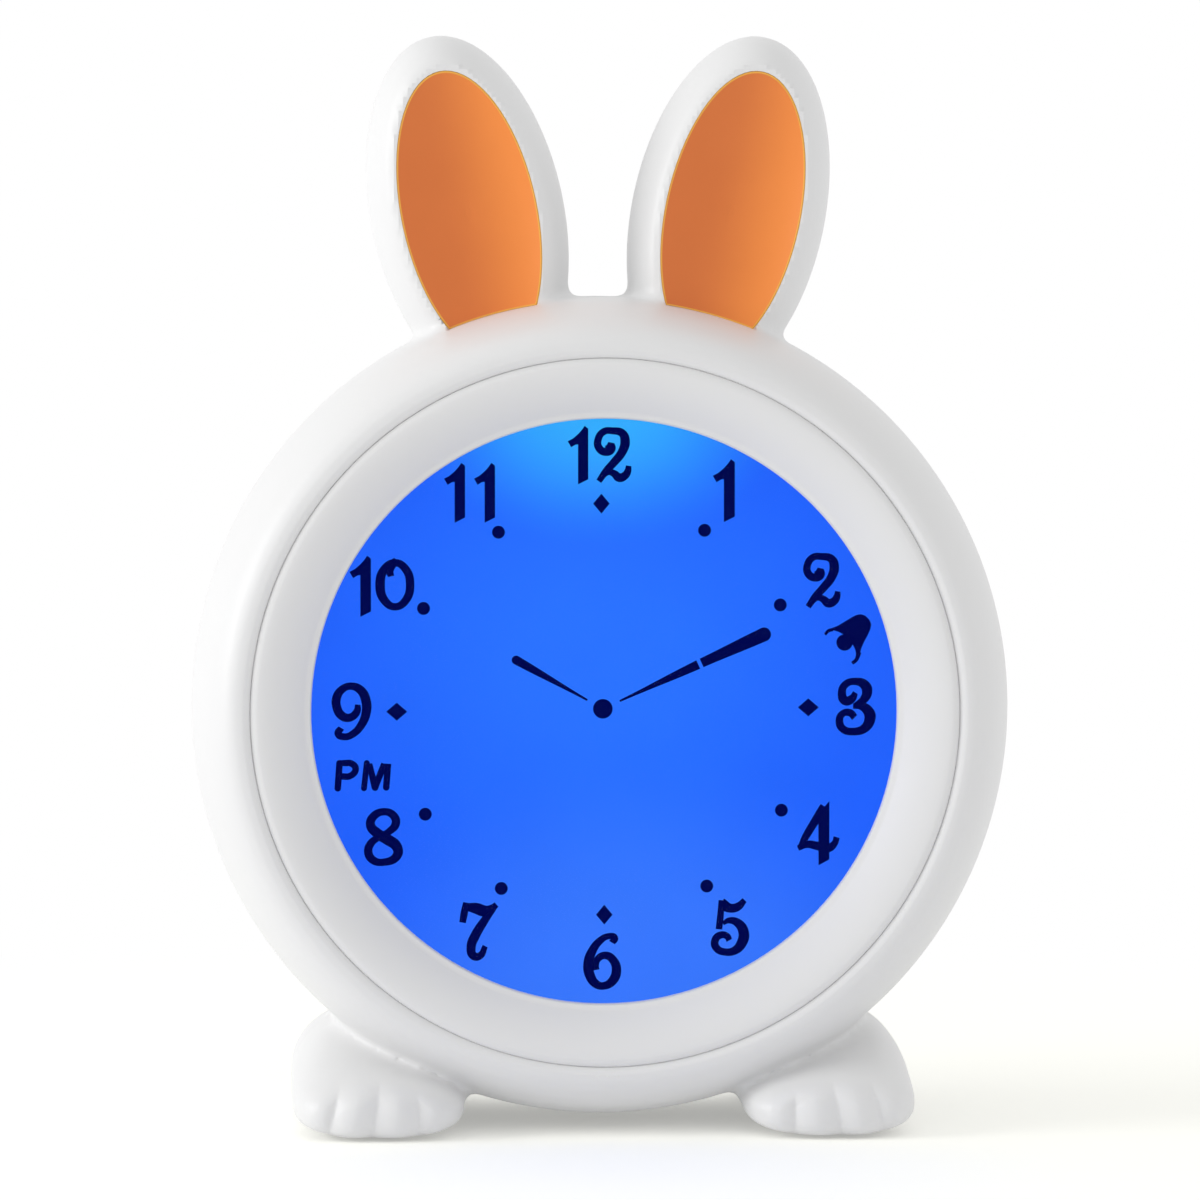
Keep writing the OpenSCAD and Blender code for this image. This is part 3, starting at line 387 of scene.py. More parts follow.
# Rings of the paw: depth, half width, heights of sole, widest part and top, and the top's rise outwards
paw_rings = [(-36, 5, 4.5, 6, 8, 0), (-35.6, 9, 2.8, 6, 10.5, 0), (-34.2, 12, 1.5, 6.5, 13, 0),
             (-31.5, 14.3, 0.7, 7, 15.5, 0.5), (-26, 15.5, 0.5, 7.5, 17.8, 1), (-18, 15.9, 0.5, 7.5, 19.8, 1),
             (-8, 15.9, 0.5, 7.5, 20.8, 1), (2, 15.9, 0.5, 7.5, 20.8, 1), (8, 15.9, 0.5, 7.5, 19.3, 2),
             (13, 15.9, 0.5, 7, 16.5, 3.5), (18, 15.9, 0.5, 6.5, 14.5, 3), (24, 15.8, 0.5, 6, 13, 2),
             (28, 15.4, 0.5, 6, 12, 1.2), (31, 14.4, 0.5, 5.8, 11.2, 0.7), (33.4, 12.7, 0.55, 5.3, 10, 0.4),
             (35, 10.4, 1.1, 5, 8.8, 0.2), (35.8, 7.6, 2.1, 4.8, 7.4, 0), (36.1, 3, 3.4, 4.6, 6, 0)]
paw = stacked("paw", [(1, 1, ring[0]) for ring in paw_rings], sides=48)
paw_sizes = {round(ring[0], 1): ring[1:] for ring in paw_rings}
for vertex in paw.data.vertices:
    half_w, low, middle, high, rise = paw_sizes[round(-vertex.co.y / MM, 1)]
    across, up = vertex.co.x / MM, (vertex.co.z - HEAD_Z) / MM
    if up < 0:
        across = math.copysign(abs(across) ** PAW_ROUND, across)
        up = -abs(up) ** PAW_ROUND
    vertex.co.x = (FOOT_X + half_w * across) * MM
    vertex.co.z = (middle + (high - middle if up > 0 else middle - low) * up
                   + rise * across * max(0, up)) * MM
apply(paw, "SUBSURF", levels=1, render_levels=1)
limbs = join(ear, paw)
apply(limbs, "MIRROR", use_mirror_merge=False)

# One skin over head, ears and paws, softened all over and more so where they meet
CREASE_REACH, PAW_CREASE = 5 * MM, 0.45
graph = bpy.context.evaluated_depsgraph_get()
head_skin = BVHTree.FromObject(head, graph)
limb_skin = BVHTree.FromObject(limbs, graph)
casing = join(head, limbs)
casing.name = "casing"
apply(casing, "REMESH", mode="VOXEL", voxel_size=SKIN_VOXEL * MM)
creases = casing.vertex_groups.new(name="creases")
for vertex in casing.data.vertices:
    near = 1
    for skin in (head_skin, limb_skin):
        near *= max(0, 1 - skin.find_nearest(vertex.co)[3] / CREASE_REACH)
    if near > 0:
        creases.add([vertex.index], near if vertex.co.z > HEAD_Z else PAW_CREASE * near, "REPLACE")
apply(casing, "SMOOTH", factor=0.5, iterations=5)
apply(casing, "SMOOTH", factor=0.5, iterations=24, vertex_group="creases")


def at_toes(point):
    """Whether a point is on the front of a paw."""
    return (-point.y > TOES_FROM * MM and point.z < TOES_TOP * MM
            and math.hypot(point.x, point.z - HEAD_Z) > (HEAD_R + TOES_CLEAR) * MM)


# Toe lines pressed into the paws, and a flat back and flat seats for the lenses
edit(casing)
bpy.ops.object.mode_set(mode="OBJECT")
for face in casing.data.polygons:
    face.select = at_toes(face.center)
bpy.ops.object.mode_set(mode="EDIT")
bpy.ops.mesh.select_mode(type="FACE")
bpy.ops.mesh.subdivide(number_cuts=2)
bpy.ops.object.mode_set(mode="OBJECT")
toes = casing.vertex_groups.new(name="toes")
upright = Matrix.Rotation(math.radians(-EAR_TILT), 2)
for vertex in casing.data.vertices:
    x, depth, height = abs(vertex.co.x) / MM, -vertex.co.y / MM, vertex.co.z / MM
    y = height - HEAD_Z / MM
    out = math.hypot(x, y)
    on_ear = Vector((x - EAR_X, y - EAR_Y)) @ upright
    if at_toes(vertex.co):
        gap = min(abs(x - low - (top - low) * height / TOE_LINE_TOP) for top, low in TOE_LINES)
        fade = (fade_in(height, TOES_TOP - 1, TOES_TOP - 6) * fade_in(depth, TOES_FROM, TOES_FROM + 6)
                * fade_in(out, HEAD_R + TOES_CLEAR, HEAD_R + TOES_CLEAR + 3))
        vertex.co.y += TOE_GROOVE * max(0, 1 - gap / TOE_HALF) ** 2 * fade * MM
        toes.add([vertex.index], 1, "REPLACE")
    elif depth < -BACK_DEPTH + SKIN_VOXEL - 0.05 and out < BACK_R + 0.2:
        vertex.co.y = BACK_DEPTH * MM
    elif (depth > SEAT_FROM and out > HEAD_R + 2
          and math.hypot(on_ear.x / LENS_HALF_W, on_ear.y / LENS_HALF_H) < SEAT_REACH):
        vertex.co.y = -LENS_SEAT * MM
apply(casing, "SMOOTH", factor=0.5, iterations=3, vertex_group="toes")


def half(name, forward):
    """One half of the casing, with a fine bevel along the parting line."""
    piece = twin(casing, name)
    edit(piece)
    bpy.ops.mesh.select_all(action="SELECT")
    bpy.ops.mesh.bisect(plane_co=(0, 0, 0), plane_no=(0, 1, 0), use_fill=True,
                        clear_outer=forward, clear_inner=not forward)
    bpy.ops.mesh.select_mode(type="EDGE")
    bpy.ops.mesh.region_to_loop()
    bpy.ops.mesh.bevel(offset=SEAM_BEVEL * MM, segments=2, affect="EDGES")
    close_up(piece)
    return piece


def front_hollow(grow=0):
    """The arc of the front half's inner wall."""
    return arc(CREST_R, SIDE_H, INNER_R - CREST_R + grow, RIM_FRONT - SIDE_H - WALL + grow, 0,
               math.degrees(math.acos((GUTTER_R - CREST_R) / (INNER_R - CREST_R))), 14)


def rear_hollow(r, grow=0):
    """The arc of the rear half's inner wall."""
    return arc(r, -SIDE_H, HEAD_R - BACK_R - WALL + grow, BACK_DEPTH - SIDE_H - WALL + grow, 270, 360, 12)


def on_ears(inset, low, high, side):
    """An elliptical block in an ear, its outline set in from the ear's by the inset."""
    room = stacked("ear_room", [(EAR_HALF_W - inset, EAR_HALF_H - inset, low),
                                (EAR_HALF_W - inset, EAR_HALF_H - inset, high)])
    lean(room, side * EAR_TILT, side * EAR_X, EAR_Y)
    return room


def pad_pocket(x, depth):
    """The pocket of a rubber pad in the sole of a paw."""
    bpy.ops.mesh.primitive_cylinder_add(vertices=48, radius=(PAD_R + 0.15) * MM, depth=2 * PAD_TOP * MM,
                                        location=(x * MM, -depth * MM, 0))
    return bpy.context.object


front = half("front_casing", True)
rear = half("rear_casing", False)
bpy.data.objects.remove(casing)

# Each half is hollowed, and gets back the posts, ribs and seats that the CAD half has in its hollow
cut(front, turned("face_tool", [(0, -1), (INNER_R, -1)] + front_hollow()
                  + [(GUTTER_R, LEDGE_BACK), (LEDGE_R, LEDGE_BACK), (LEDGE_R, LEDGE_FRONT),
                     (GROOVE_R, LEDGE_FRONT)]
                  + arc(GROOVE_R + ROLL_W, RIM_TOP - ROLL_HIGH, ROLL_W / ARC_SHARE, ROLL_HIGH, 145, 97, 10)
                  + [(GROOVE_R + ROLL_W - CLEAR, RIM_FRONT + 3), (0, RIM_FRONT + 3)], steps=192))
cut(rear, turned("back_tool", [(0, -BACK_DEPTH - 1), (BACK_R - CLEAR, -BACK_DEPTH - 1),
                               (BACK_R - CLEAR, -BACK_DEPTH + WALL)]
                 + rear_hollow(BACK_R) + [(INNER_R, 1), (0, 1)], steps=160))
front_room = turned("front_room", [(0, -1), (INNER_R - CLEAR, -1), (INNER_R - CLEAR, 0.5),
                                   (INNER_R + SINK, 0.5)]
                    + front_hollow(SINK) + [(GUTTER_R - 0.2, LEDGE_BACK + 0.4), (0, LEDGE_BACK + 0.4)],
                    steps=160)
rear_room = turned("rear_room", [(0, -BACK_DEPTH - 1), (BACK_R, -BACK_DEPTH - 1),
                                 (BACK_R, -BACK_DEPTH + WALL - SINK)]
                   + rear_hollow(BACK_R + 0.01, SINK)
                   + [(INNER_R + SINK, -0.5), (INNER_R - CLEAR, -0.5), (INNER_R - CLEAR, 1), (0, 1)], steps=160)
for side in (-1, 1):
    pocket = stacked("pocket", [(LENS_HALF_W, LENS_HALF_H, POCKET_BACK),
                                (LENS_HALF_W, LENS_HALF_H, POCKET_FRONT)])
    lean(pocket, side * EAR_TILT, side * EAR_X, EAR_Y)
    cut(pocket, turned("head_core", [(0, 2), (POCKET_END_R, 2), (POCKET_END_R, 20), (0, 20)], steps=192))
    cut(front, pocket)
    cut(front, on_ears(EAR_WALL, -1, HOLLOW_FRONT, side))
    cut(rear, on_ears(EAR_WALL, HOLLOW_BACK, 1, side))
    cut(rear_room, on_ears(EAR_WALL - SINK, HOLLOW_BACK - SINK, 0.5, side), "UNION")
    cut(front, pad_pocket(side * PAD_X, PAD_DEPTH))
    cut(rear, pad_pocket(side * PAD_X, -PAD_DEPTH))
cut(front, inside("front_shell", "front_inside", front_room), "UNION")
cut(rear, inside("rear_shell", "rear_inside", rear_room), "UNION")
shell_white = moulded("shell_white", (0.8, 0.8, 0.8), rough=0.42, grain=0.05, tone=0.008, patch=30)
for piece in (front, rear):
    finish(shell_white, piece)
    smooth(piece, 32)
    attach(piece, "clock")
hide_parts("front_shell")
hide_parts("rear_shell")

# ---- Bezel ring --------------------------------------------------------------------------------
# A separate white ring between rim and window, pressed onto the ledge of the front half. Its top falls
# in a shallow curve towards the window, and its outer edge is rounded, which leaves a soft groove.

BEZEL_R, WINDOW_R, BEZEL_TOP = 62.7, 53.1, 30.6
BEZEL_DROP, DROP_CURVE, DROP_STEPS = 4.3, 1.7, 20
EDGE_W, EDGE_HIGH, LIP = 1.4, 1.7, 1.0
HUB_R, HUB_BACK = 57.3, 24.5
bezel_top = [(BEZEL_R - (BEZEL_R - WINDOW_R - LIP) * i / DROP_STEPS,
              BEZEL_TOP - BEZEL_DROP * (i / DROP_STEPS) ** DROP_CURVE) for i in range(1, DROP_STEPS + 1)]
bezel = turned("bezel", [(GROOVE_R, LEDGE_FRONT)]
               + arc(BEZEL_R, BEZEL_TOP - EDGE_HIGH, EDGE_W / ARC_SHARE, EDGE_HIGH, 35, 90, 12)
               + bezel_top + arc(WINDOW_R + LIP, BEZEL_TOP - BEZEL_DROP - LIP, LIP, LIP, 128, 180, 7)
               + [(WINDOW_R, HUB_BACK), (HUB_R, HUB_BACK), (HUB_R, LEDGE_FRONT), (GROOVE_R, LEDGE_FRONT)],
               steps=192)
finish(moulded("bezel_white", (0.8, 0.8, 0.8), rough=0.45, grain=0.05, tone=0.008, patch=25), bezel)
smooth(bezel)
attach(bezel, "clock")
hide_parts("bezel_ring")

# ---- Display glass -----------------------------------------------------------------------------
# A blue liquid crystal glass lit from behind and from a lamp at its top edge, with dark segments: numerals
# as of a broad pen, hour marks, hands, a bell and PM. A clear window lies over it, and behind it a light
# guide between two white sheets in a white frame.

GLASS_R, GLASS_FRONT, GLASS_BACK = 56.2, 22.3, 20.5
glass = turned("display_glass", [(0, GLASS_BACK), (GLASS_R, GLASS_BACK), (GLASS_R, GLASS_FRONT - 0.2),
                                 (GLASS_R - 0.2, GLASS_FRONT), (0, GLASS_FRONT)], steps=128)
blue, tree, shader = fresh("lit_blue_glass")
on_glass = add(tree, "ShaderNodeTexCoord").outputs["Object"]


def light_patch(x, y, half_w, half_h, *colours):
    """Colours that run from outside a soft elliptical patch of light to its middle."""
    place = add(tree, "ShaderNodeMapping", vector_type="TEXTURE", Vector=on_glass,
                Location=at(x, y, GLASS_FRONT), Scale=(half_w * MM, 1, half_h * MM))
    patch = add(tree, "ShaderNodeTexGradient", gradient_type="SPHERICAL", Vector=place.outputs[0])
    ramp = add(tree, "ShaderNodeValToRGB")
    tree.links.new(patch.outputs["Fac"], ramp.inputs[0])
    ramp.color_ramp.interpolation = "EASE"
    for stop, (position, colour) in zip(ramp.color_ramp.elements, colours):
        stop.position = position
        stop.color = (*colour, 1)
    return ramp.outputs["Color"]


body_blue = light_patch(-2, 10, 105, 95, (0.4, (0.016, 0.118, 0.95)), (0.95, (0.024, 0.168, 1)))
lamp_cyan = light_patch(-1, 57, 38, 28, (0.0, (0, 0, 0)), (0.85, (0.018, 0.28, 0)))
low_pale = light_patch(6, -50, 66, 44, (0.0, (0, 0, 0)), (0.8, (0.024, 0.062, 0)))
cloud = add(tree, "ShaderNodeTexNoise", Vector=on_glass, Scale=60, Detail=4)
mottle = add(tree, "ShaderNodeMapRange", Value=cloud.outputs["Fac"], To_Min=0.95, To_Max=1.05)
from_top = reckon(tree, "ADD", body_blue, lamp_cyan, vectors=True)
from_lamps = reckon(tree, "ADD", from_top, low_pale, vectors=True)
lit_blue = add(tree, "ShaderNodeVectorMath", operation="SCALE", Vector=from_lamps,
               Scale=mottle.outputs["Result"])
fit(shader, Base_Color=(0.0, 0.003, 0.04, 1), Roughness=0.4, Specular_IOR_Level=0,
    Emission_Color=lit_blue.outputs[0], Emission_Strength=1)
finish(blue, glass)
smooth(glass)
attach(glass, "clock")
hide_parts("lcd_panel")

PRINT_T, BOLD, DOT_SIDES = 0.06, 1.15, 32
DIGIT_UNIT, DIGIT_MIDDLE = 34.25, (250, 250)
ink_parts = []


def lay(part, x, y, unit, middle, scale=1):
    """Lays a flat shape, drawn in its own units with y down, on the glass with its middle at x, y."""
    part.data.transform(Matrix.Translation(at(x, y, GLASS_FRONT + PRINT_T / 2))
                        @ Matrix.Rotation(math.pi / 2, 4, "X")
                        @ Matrix.Diagonal((scale * MM / unit, -scale * MM / unit, PRINT_T * MM, 1))
                        @ Matrix.Translation((-middle[0], -middle[1], 0)))
    edit(part)
    close_up(part)
    ink_parts.append(part)


def pen(points, closed=False):
    """A pen stroke through points that each give x, y and the pen's width there."""
    bpy.ops.curve.primitive_bezier_curve_add()
    line = bpy.context.object
    spline = line.data.splines[0]
    spline.bezier_points.add(len(points) - 2)
    for knot, (x, y, width) in zip(spline.bezier_points, points):
        knot.co = (x, y, 0)
        knot.radius = BOLD * width / 2
        knot.handle_left_type = knot.handle_right_type = "AUTO"
    spline.use_cyclic_u = closed
    spline.radius_interpolation = "CARDINAL"
    spline.resolution_u = 6
    line.data.twist_mode = "Z_UP"
    line.data.bevel_depth = 1
    line.data.bevel_resolution = 0
    line.data.use_fill_caps = not closed
    pick(line)
    bpy.ops.object.convert(target="MESH")
    part = bpy.context.object
    settle(part)
    for vertex in part.data.vertices:
        vertex.co.z = math.copysign(0.5, vertex.co.z) if abs(vertex.co.z) > 0.01 else 0
    return part


def shape(corners):
    """A flat shape with straight edges between its corners."""
    bpy.ops.mesh.primitive_circle_add(vertices=len(corners), radius=1, fill_type="NGON")
    part = bpy.context.object
    settle(part)
    for vertex, (x, y) in zip(part.data.vertices, corners):
        vertex.co = (x, y, -0.5)
    edit(part)
    bpy.ops.mesh.select_all(action="SELECT")
    bpy.ops.mesh.extrude_region_move(TRANSFORM_OT_translate={"value": (0, 0, 1)})
    bpy.ops.object.mode_set(mode="OBJECT")
    return part


def disc(x, y, r):
    """A round dot."""
    return shape(arc(x, y, r, r, 0, 360 - 360 / DOT_SIDES, DOT_SIDES - 1))


digits = {
    "0": lambda: (pen([(325 + 93 * math.cos(t * math.pi / 4), 240 + 137 * math.sin(t * math.pi / 4), width)
                       for t, width in enumerate((46, 44, 40, 46, 52, 46, 40, 44))], closed=True),
                  pen([(300, 188, 34), (292, 150, 44), (310, 105, 50)]),
                  shape([(258, 118), (320, 72), (338, 95)])),
    "1": lambda: (shape([(170, 146), (205, 128), (240, 98), (265, 70), (283, 43), (307, 62), (307, 400),
                         (239, 434), (239, 166), (220, 170), (193, 186)]),),
    "2": lambda: (pen([(243, 168, 35), (235, 205, 60), (205, 225, 45), (165, 200, 42), (160, 150, 40),
                       (195, 100, 38), (250, 95, 38), (310, 110, 45), (328, 160, 52), (310, 225, 48),
                       (260, 290, 44), (210, 345, 40), (165, 408, 32)]),
                  pen([(195, 375, 20), (230, 352, 32), (262, 362, 40), (290, 385, 48), (325, 375, 44),
                       (345, 345, 38), (350, 312, 30)])),
    "3": lambda: (pen([(250, 165, 30), (225, 205, 45), (185, 215, 50), (165, 170, 45), (185, 115, 40),
                       (250, 95, 40), (310, 120, 55), (322, 165, 55), (300, 210, 45), (255, 245, 36)]),
                  pen([(235, 248, 30), (290, 250, 45), (335, 290, 60), (340, 330, 60), (310, 385, 50),
                       (240, 408, 42), (170, 390, 42), (150, 345, 42), (165, 300, 38), (215, 290, 40),
                       (245, 320, 38)])),
    "4": lambda: (pen([(285, 75, 50), (225, 170, 45), (165, 270, 40), (130, 340, 28)]),
                  shape([(247, 122), (316, 42), (316, 407), (249, 443)]),
                  pen([(120, 335, 30), (180, 312, 40), (240, 322, 46), (310, 335, 48), (350, 305, 36),
                       (362, 268, 34)])),
    "5": lambda: (pen([(195, 80, 30), (190, 170, 36), (180, 262, 36)]),
                  pen([(195, 100, 60), (250, 130, 50), (300, 120, 45), (340, 80, 30)]),
                  pen([(205, 225, 22), (245, 207, 34), (300, 225, 48), (335, 285, 58), (322, 350, 56),
                       (280, 395, 46), (220, 405, 40), (165, 380, 42), (155, 335, 42), (185, 300, 40),
                       (230, 305, 36), (245, 332, 34)])),
    "6": lambda: (pen([(312, 135, 36), (330, 105, 36), (290, 95, 34), (235, 125, 40), (190, 185, 48),
                       (165, 260, 54), (175, 340, 54), (215, 395, 46), (262, 405, 42), (315, 375, 50),
                       (340, 310, 52), (320, 245, 46), (275, 215, 42), (225, 235, 38), (210, 280, 36),
                       (215, 305, 34)]),),
    "7": lambda: (pen([(180, 82, 34), (168, 145, 40), (157, 207, 36)]),
                  pen([(190, 110, 44), (240, 118, 60), (300, 135, 60), (345, 115, 40), (368, 95, 32)]),
                  pen([(350, 115, 36), (290, 200, 45), (235, 290, 52), (210, 360, 50), (225, 415, 46),
                       (265, 415, 40), (298, 355, 30)])),
    "8": lambda: (pen([(253, 90, 40), (185, 125, 46), (172, 175, 50), (215, 225, 56), (275, 262, 60),
                       (335, 310, 56), (335, 365, 50), (250, 405, 40), (185, 390, 44), (157, 340, 46),
                       (175, 285, 42), (225, 248, 36), (285, 215, 38), (328, 165, 46), (315, 115, 44)],
                      closed=True),),
    "9": lambda: (pen([(282, 205, 30), (278, 245, 40), (235, 285, 44), (185, 275, 48), (152, 220, 48),
                       (152, 160, 48), (185, 110, 42), (240, 90, 40), (300, 115, 48), (333, 180, 52),
                       (333, 260, 50), (305, 330, 44), (255, 385, 40), (200, 405, 38), (160, 385, 40),
                       (180, 350, 34)]),),
}
# Each numeral: where its middle is, and its digits with their shifts and sizes
dial = [(-0.75, 46.4, ("1", -125, 10, 0.93), ("2", 79, 4, 1)), (22.1, 39.6, ("1", 0, 0, 1)),
        (39.6, 23.4, ("2", 0, 0, 1)), (45.8, 0.65, ("3", 0, 0, 1)), (39.15, -22.7, ("4", 0, 0, 1)),
        (23.0, -39.6, ("5", 0, 0, 1)), (-0.35, -45.65, ("6", 0, 0, 1)), (-23.0, -39.75, ("7", 0, 0, 1)),
        (-40.1, -22.9, ("8", 0, 0, 1)), (-45.6, -0.05, ("9", 0, 0, 1)),
        (-40.05, 22.7, ("1", -130, 10, 0.97), ("0", 0, 0, 1)),
        (-24.1, 39.6, ("1", -91, 10, 0.95), ("1", 95, 10, 0.95))]
for x, y, *marks in dial:
    for digit, right, down, scale in marks:
        for part in digits[digit]():
            lay(part, x + right / DIGIT_UNIT, y - down / DIGIT_UNIT, DIGIT_UNIT, DIGIT_MIDDLE, scale)

MARK_RING, MARKS_X, MARKS_Y, MARK_TURN = 37.4, -0.2, 0.22, 0.007
DOT_R, DIAMOND_TALL, DIAMOND_WIDE = 1.17, (1.5, 1.8), (1.9, 1.63)
for hour in range(12):
    x = MARKS_X + MARK_RING * math.sin(hour * math.pi / 6 - MARK_TURN)
    y = MARKS_Y + MARK_RING * math.cos(hour * math.pi / 6 - MARK_TURN)
    if hour % 3:
        lay(disc(0, 0, DOT_R), x, y, 1, (0, 0))
    else:
        across, up = DIAMOND_WIDE if hour % 6 else DIAMOND_TALL
        lay(shape([(0, -up), (across, 0), (0, up), (-across, 0)]), x, y, 1, (0, 0))

for part in (pen([(-15.73, -8.9, 1.43), (-2.83, -1.6, 0.32)]), disc(-15.73, -8.9, 0.82),
             pen([(3.08, -1.4, 0.32), (17.35, -8.0, 1.48)]), pen([(17.95, -8.28, 1.48), (29.3, -13.43, 2.22)]),
             disc(29.3, -13.43, 1.28), disc(0, 0, 1.78)):
    lay(part, -0.2, 0.35, 1, (0, 0))

PM_AT, PM_UNIT, PM_MIDDLE = (-43.7, -11.65), 76.9, (1424.6, 365)
for part in (pen([(1095, 190, 80), (1070, 540, 80)]),
             pen([(1090, 190, 70), (1180, 188, 78), (1260, 195, 80), (1320, 265, 80), (1250, 365, 80),
                  (1120, 375, 80)]),
             pen([(1475, 190, 72), (1435, 540, 72)]), pen([(1510, 200, 72), (1590, 530, 85)]),
             pen([(1590, 530, 80), (1720, 200, 80)]), pen([(1770, 200, 80), (1745, 530, 80)]),
             disc(1095, 190, 46), disc(1070, 540, 46), disc(1475, 190, 42), disc(1435, 540, 42),
             disc(1590, 530, 48), disc(1745, 530, 46)):
    lay(part, *PM_AT, PM_UNIT, PM_MIDDLE)

BELL_AT, BELL_UNIT, BELL_MIDDLE = (44.6, 12.9), 67.3, (430, 430)
for part in (shape([(205, 300), (290, 268), (390, 208), (470, 160), (520, 135), (575, 126), (630, 145),
                    (680, 195), (702, 250), (690, 312), (655, 390), (612, 470), (580, 545), (560, 620),
                    (520, 620), (505, 555), (470, 490), (360, 372), (300, 340), (240, 322)]),
             pen([(235, 312, 35), (175, 330, 35), (135, 375, 30)]),
             pen([(548, 590, 60), (538, 640, 46), (515, 690, 40), (468, 726, 36)]), disc(375, 472, 100)):
    lay(part, *BELL_AT, BELL_UNIT, BELL_MIDDLE)

segments = join(*ink_parts)
segments.name = segments.data.name = "display_segments"
ink_black, tree, shader = fresh("segment_ink")
cloud = add(tree, "ShaderNodeTexNoise", Vector=add(tree, "ShaderNodeTexCoord").outputs["Object"], Scale=90,
            Detail=3)
fit(shader, Base_Color=(0.0004, 0.001, 0.015, 1), Specular_IOR_Level=0, Emission_Strength=0.075,
    Emission_Color=between(tree, cloud.outputs["Fac"], (0.001, 0.012, 0.7, 1), (0.002, 0.02, 0.92, 1)))
finish(ink_black, segments)
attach(segments, "clock")

window_clear, tree, shader = fresh("window_clear")
fit(shader, Base_Color=WHITE, Transmission_Weight=1, Roughness=0, IOR=1.05)
finish(window_clear, "display_window")


def shader_of(material):
    """A material's shader."""
    return material.node_tree.nodes["Principled BSDF"]


finish(moulded("diffuser_film", (0.82, 0.83, 0.84), rough=0.5, grain=0.02, tone=0.01, patch=40),
       "diffuser_film", "reflector_sheet")
acrylic = moulded("guide_acrylic", (0.93, 0.96, 0.98), rough=0.08, grain=0.02, grain_size=2, tone=0.01)
fit(shader_of(acrylic), Transmission_Weight=1, IOR=1.49)
finish(acrylic, "light_guide")
finish(moulded("frame_white", (0.72, 0.72, 0.7), rough=0.5, grain=0.08, tone=0.02), "display_frame")

# ---- Ear lenses --------------------------------------------------------------------------------
# Tinted orange lenses dished into the ears and lit from behind, with a painted sheen that brightens them
# towards the right; a thin line of light shows along their edge. They fill the openings of the ears and end
# where the head begins.

LENS_TOP, LENS_DISH, LENS_T, LENS_EDGE = 12.5, 4.0, 1.5, 0.12
LENS_REACH = LENS_HALF_W - 0.04
LENS_END_R = HEAD_R - 0.55
EDGE_LINE = 0.28
ratio = LENS_HALF_H / LENS_HALF_W


def lens_orange(name, side):
    """Orange lit from behind, with a painted sheen that makes it brighter to the right, and a line of light
    along the edge.
    """
    material, tree, shader = fresh(name)
    coords = add(tree, "ShaderNodeTexCoord").outputs["Object"]
    on_ear = add(tree, "ShaderNodeMapping", vector_type="TEXTURE", Vector=coords,
                 Location=at(side * EAR_X, EAR_Y, 0), Rotation=(0, side * math.radians(EAR_TILT), 0),
                 Scale=(LENS_REACH * MM, 1, LENS_REACH * ratio * MM)).outputs[0]
    on_head = add(tree, "ShaderNodeMapping", vector_type="TEXTURE", Vector=coords, Location=at(0, 0, 0),
                  Scale=(MM, MM, MM)).outputs[0]

    # The distance to the lens's edge is how far a point is inside its ellipse, over how fast that grows
    flat_ear, flat_head = (reckon(tree, "MULTIPLY", spot, (1, 0, 1), vectors=True)
                           for spot in (on_ear, on_head))
    slope = reckon(tree, "MULTIPLY", flat_ear, (1 / LENS_REACH, 0, 1 / LENS_REACH / ratio), vectors=True)
    depth_in = reckon(tree, "SUBTRACT", 1, reckon(tree, "LENGTH", flat_ear, vectors=True))
    to_edge = reckon(tree, "DIVIDE", depth_in, reckon(tree, "LENGTH", slope, vectors=True))
    from_head = reckon(tree, "LENGTH", flat_head, vectors=True)
    lines = [add(tree, "ShaderNodeMapRange", Value=distance, From_Min=start, From_Max=end).outputs["Result"]
             for distance, start, end in ((to_edge, 1.5 * EDGE_LINE, 0.9 * EDGE_LINE),
                                          (from_head, LENS_END_R + 1.2 * EDGE_LINE,
                                           LENS_END_R + 0.6 * EDGE_LINE))]
    edge = reckon(tree, "MAXIMUM", *lines)

    haze = add(tree, "ShaderNodeTexNoise", Vector=coords, Scale=90, Detail=3)
    deep = between(tree, haze.outputs["Fac"], (0.675, 0.172, 0.04, 1), (0.725, 0.192, 0.046, 1))
    # Painted sheen and light: the backlit glow is made brighter towards the right of each lens, where light
    # from the left falls on the dish
    across = add(tree, "ShaderNodeSeparateXYZ", Vector=on_ear).outputs["X"]
    painted_sheen_rightward = add(tree, "ShaderNodeMapRange", interpolation_type="SMOOTHSTEP", Value=across, From_Min=-0.4,
                    From_Max=1).outputs["Result"]
    glow = between(tree, painted_sheen_rightward, (0.06, 0.02, 0.006, 1), (0.21, 0.095, 0.012, 1))
    fit(shader, Roughness=0.38, Specular_IOR_Level=0.25, Emission_Strength=1,
        Base_Color=between(tree, edge, deep, (0.72, 0.37, 0.07, 1)),
        Emission_Color=between(tree, edge, glow, (0.16, 0.08, 0.01, 1)))
    return material


def lens_ring(r, depth):
    """A ring of the lens, at a share of its size."""
    return r * LENS_REACH, r * LENS_REACH * ratio, depth


dish = [(0.985, 0)] + [(r, LENS_DISH * (1 - r * r) - LENS_EDGE)
                       for r in (0.95, 0.88, 0.8, 0.7, 0.58, 0.45, 0.3, 0.15)]
for side, ear_name in ((-1, "left"), (1, "right")):
    lens = stacked("ear_lens_" + ear_name,
                   [(0.5, 0.5 * ratio, LENS_TOP - LENS_DISH - LENS_T)]
                   + [lens_ring(r, LENS_TOP - drop - LENS_T) for r, drop in reversed(dish)]
                   + [lens_ring(1, LENS_TOP - LENS_T + 0.1), lens_ring(1, LENS_TOP - LENS_EDGE)]
                   + [lens_ring(r, LENS_TOP - drop) for r, drop in dish]
                   + [(0.5, 0.5 * ratio, LENS_TOP - LENS_DISH)], sides=120)
    lean(lens, side * EAR_TILT, side * EAR_X, EAR_Y)
    cut(lens, turned("head_core", [(0, 0), (LENS_END_R, 0), (LENS_END_R, 20), (0, 20)], steps=256))
    finish(lens_orange("ear_orange_" + ear_name, side), lens)
    smooth(lens, 30)
    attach(lens, "clock")
    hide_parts("ear_panel_" + ear_name)

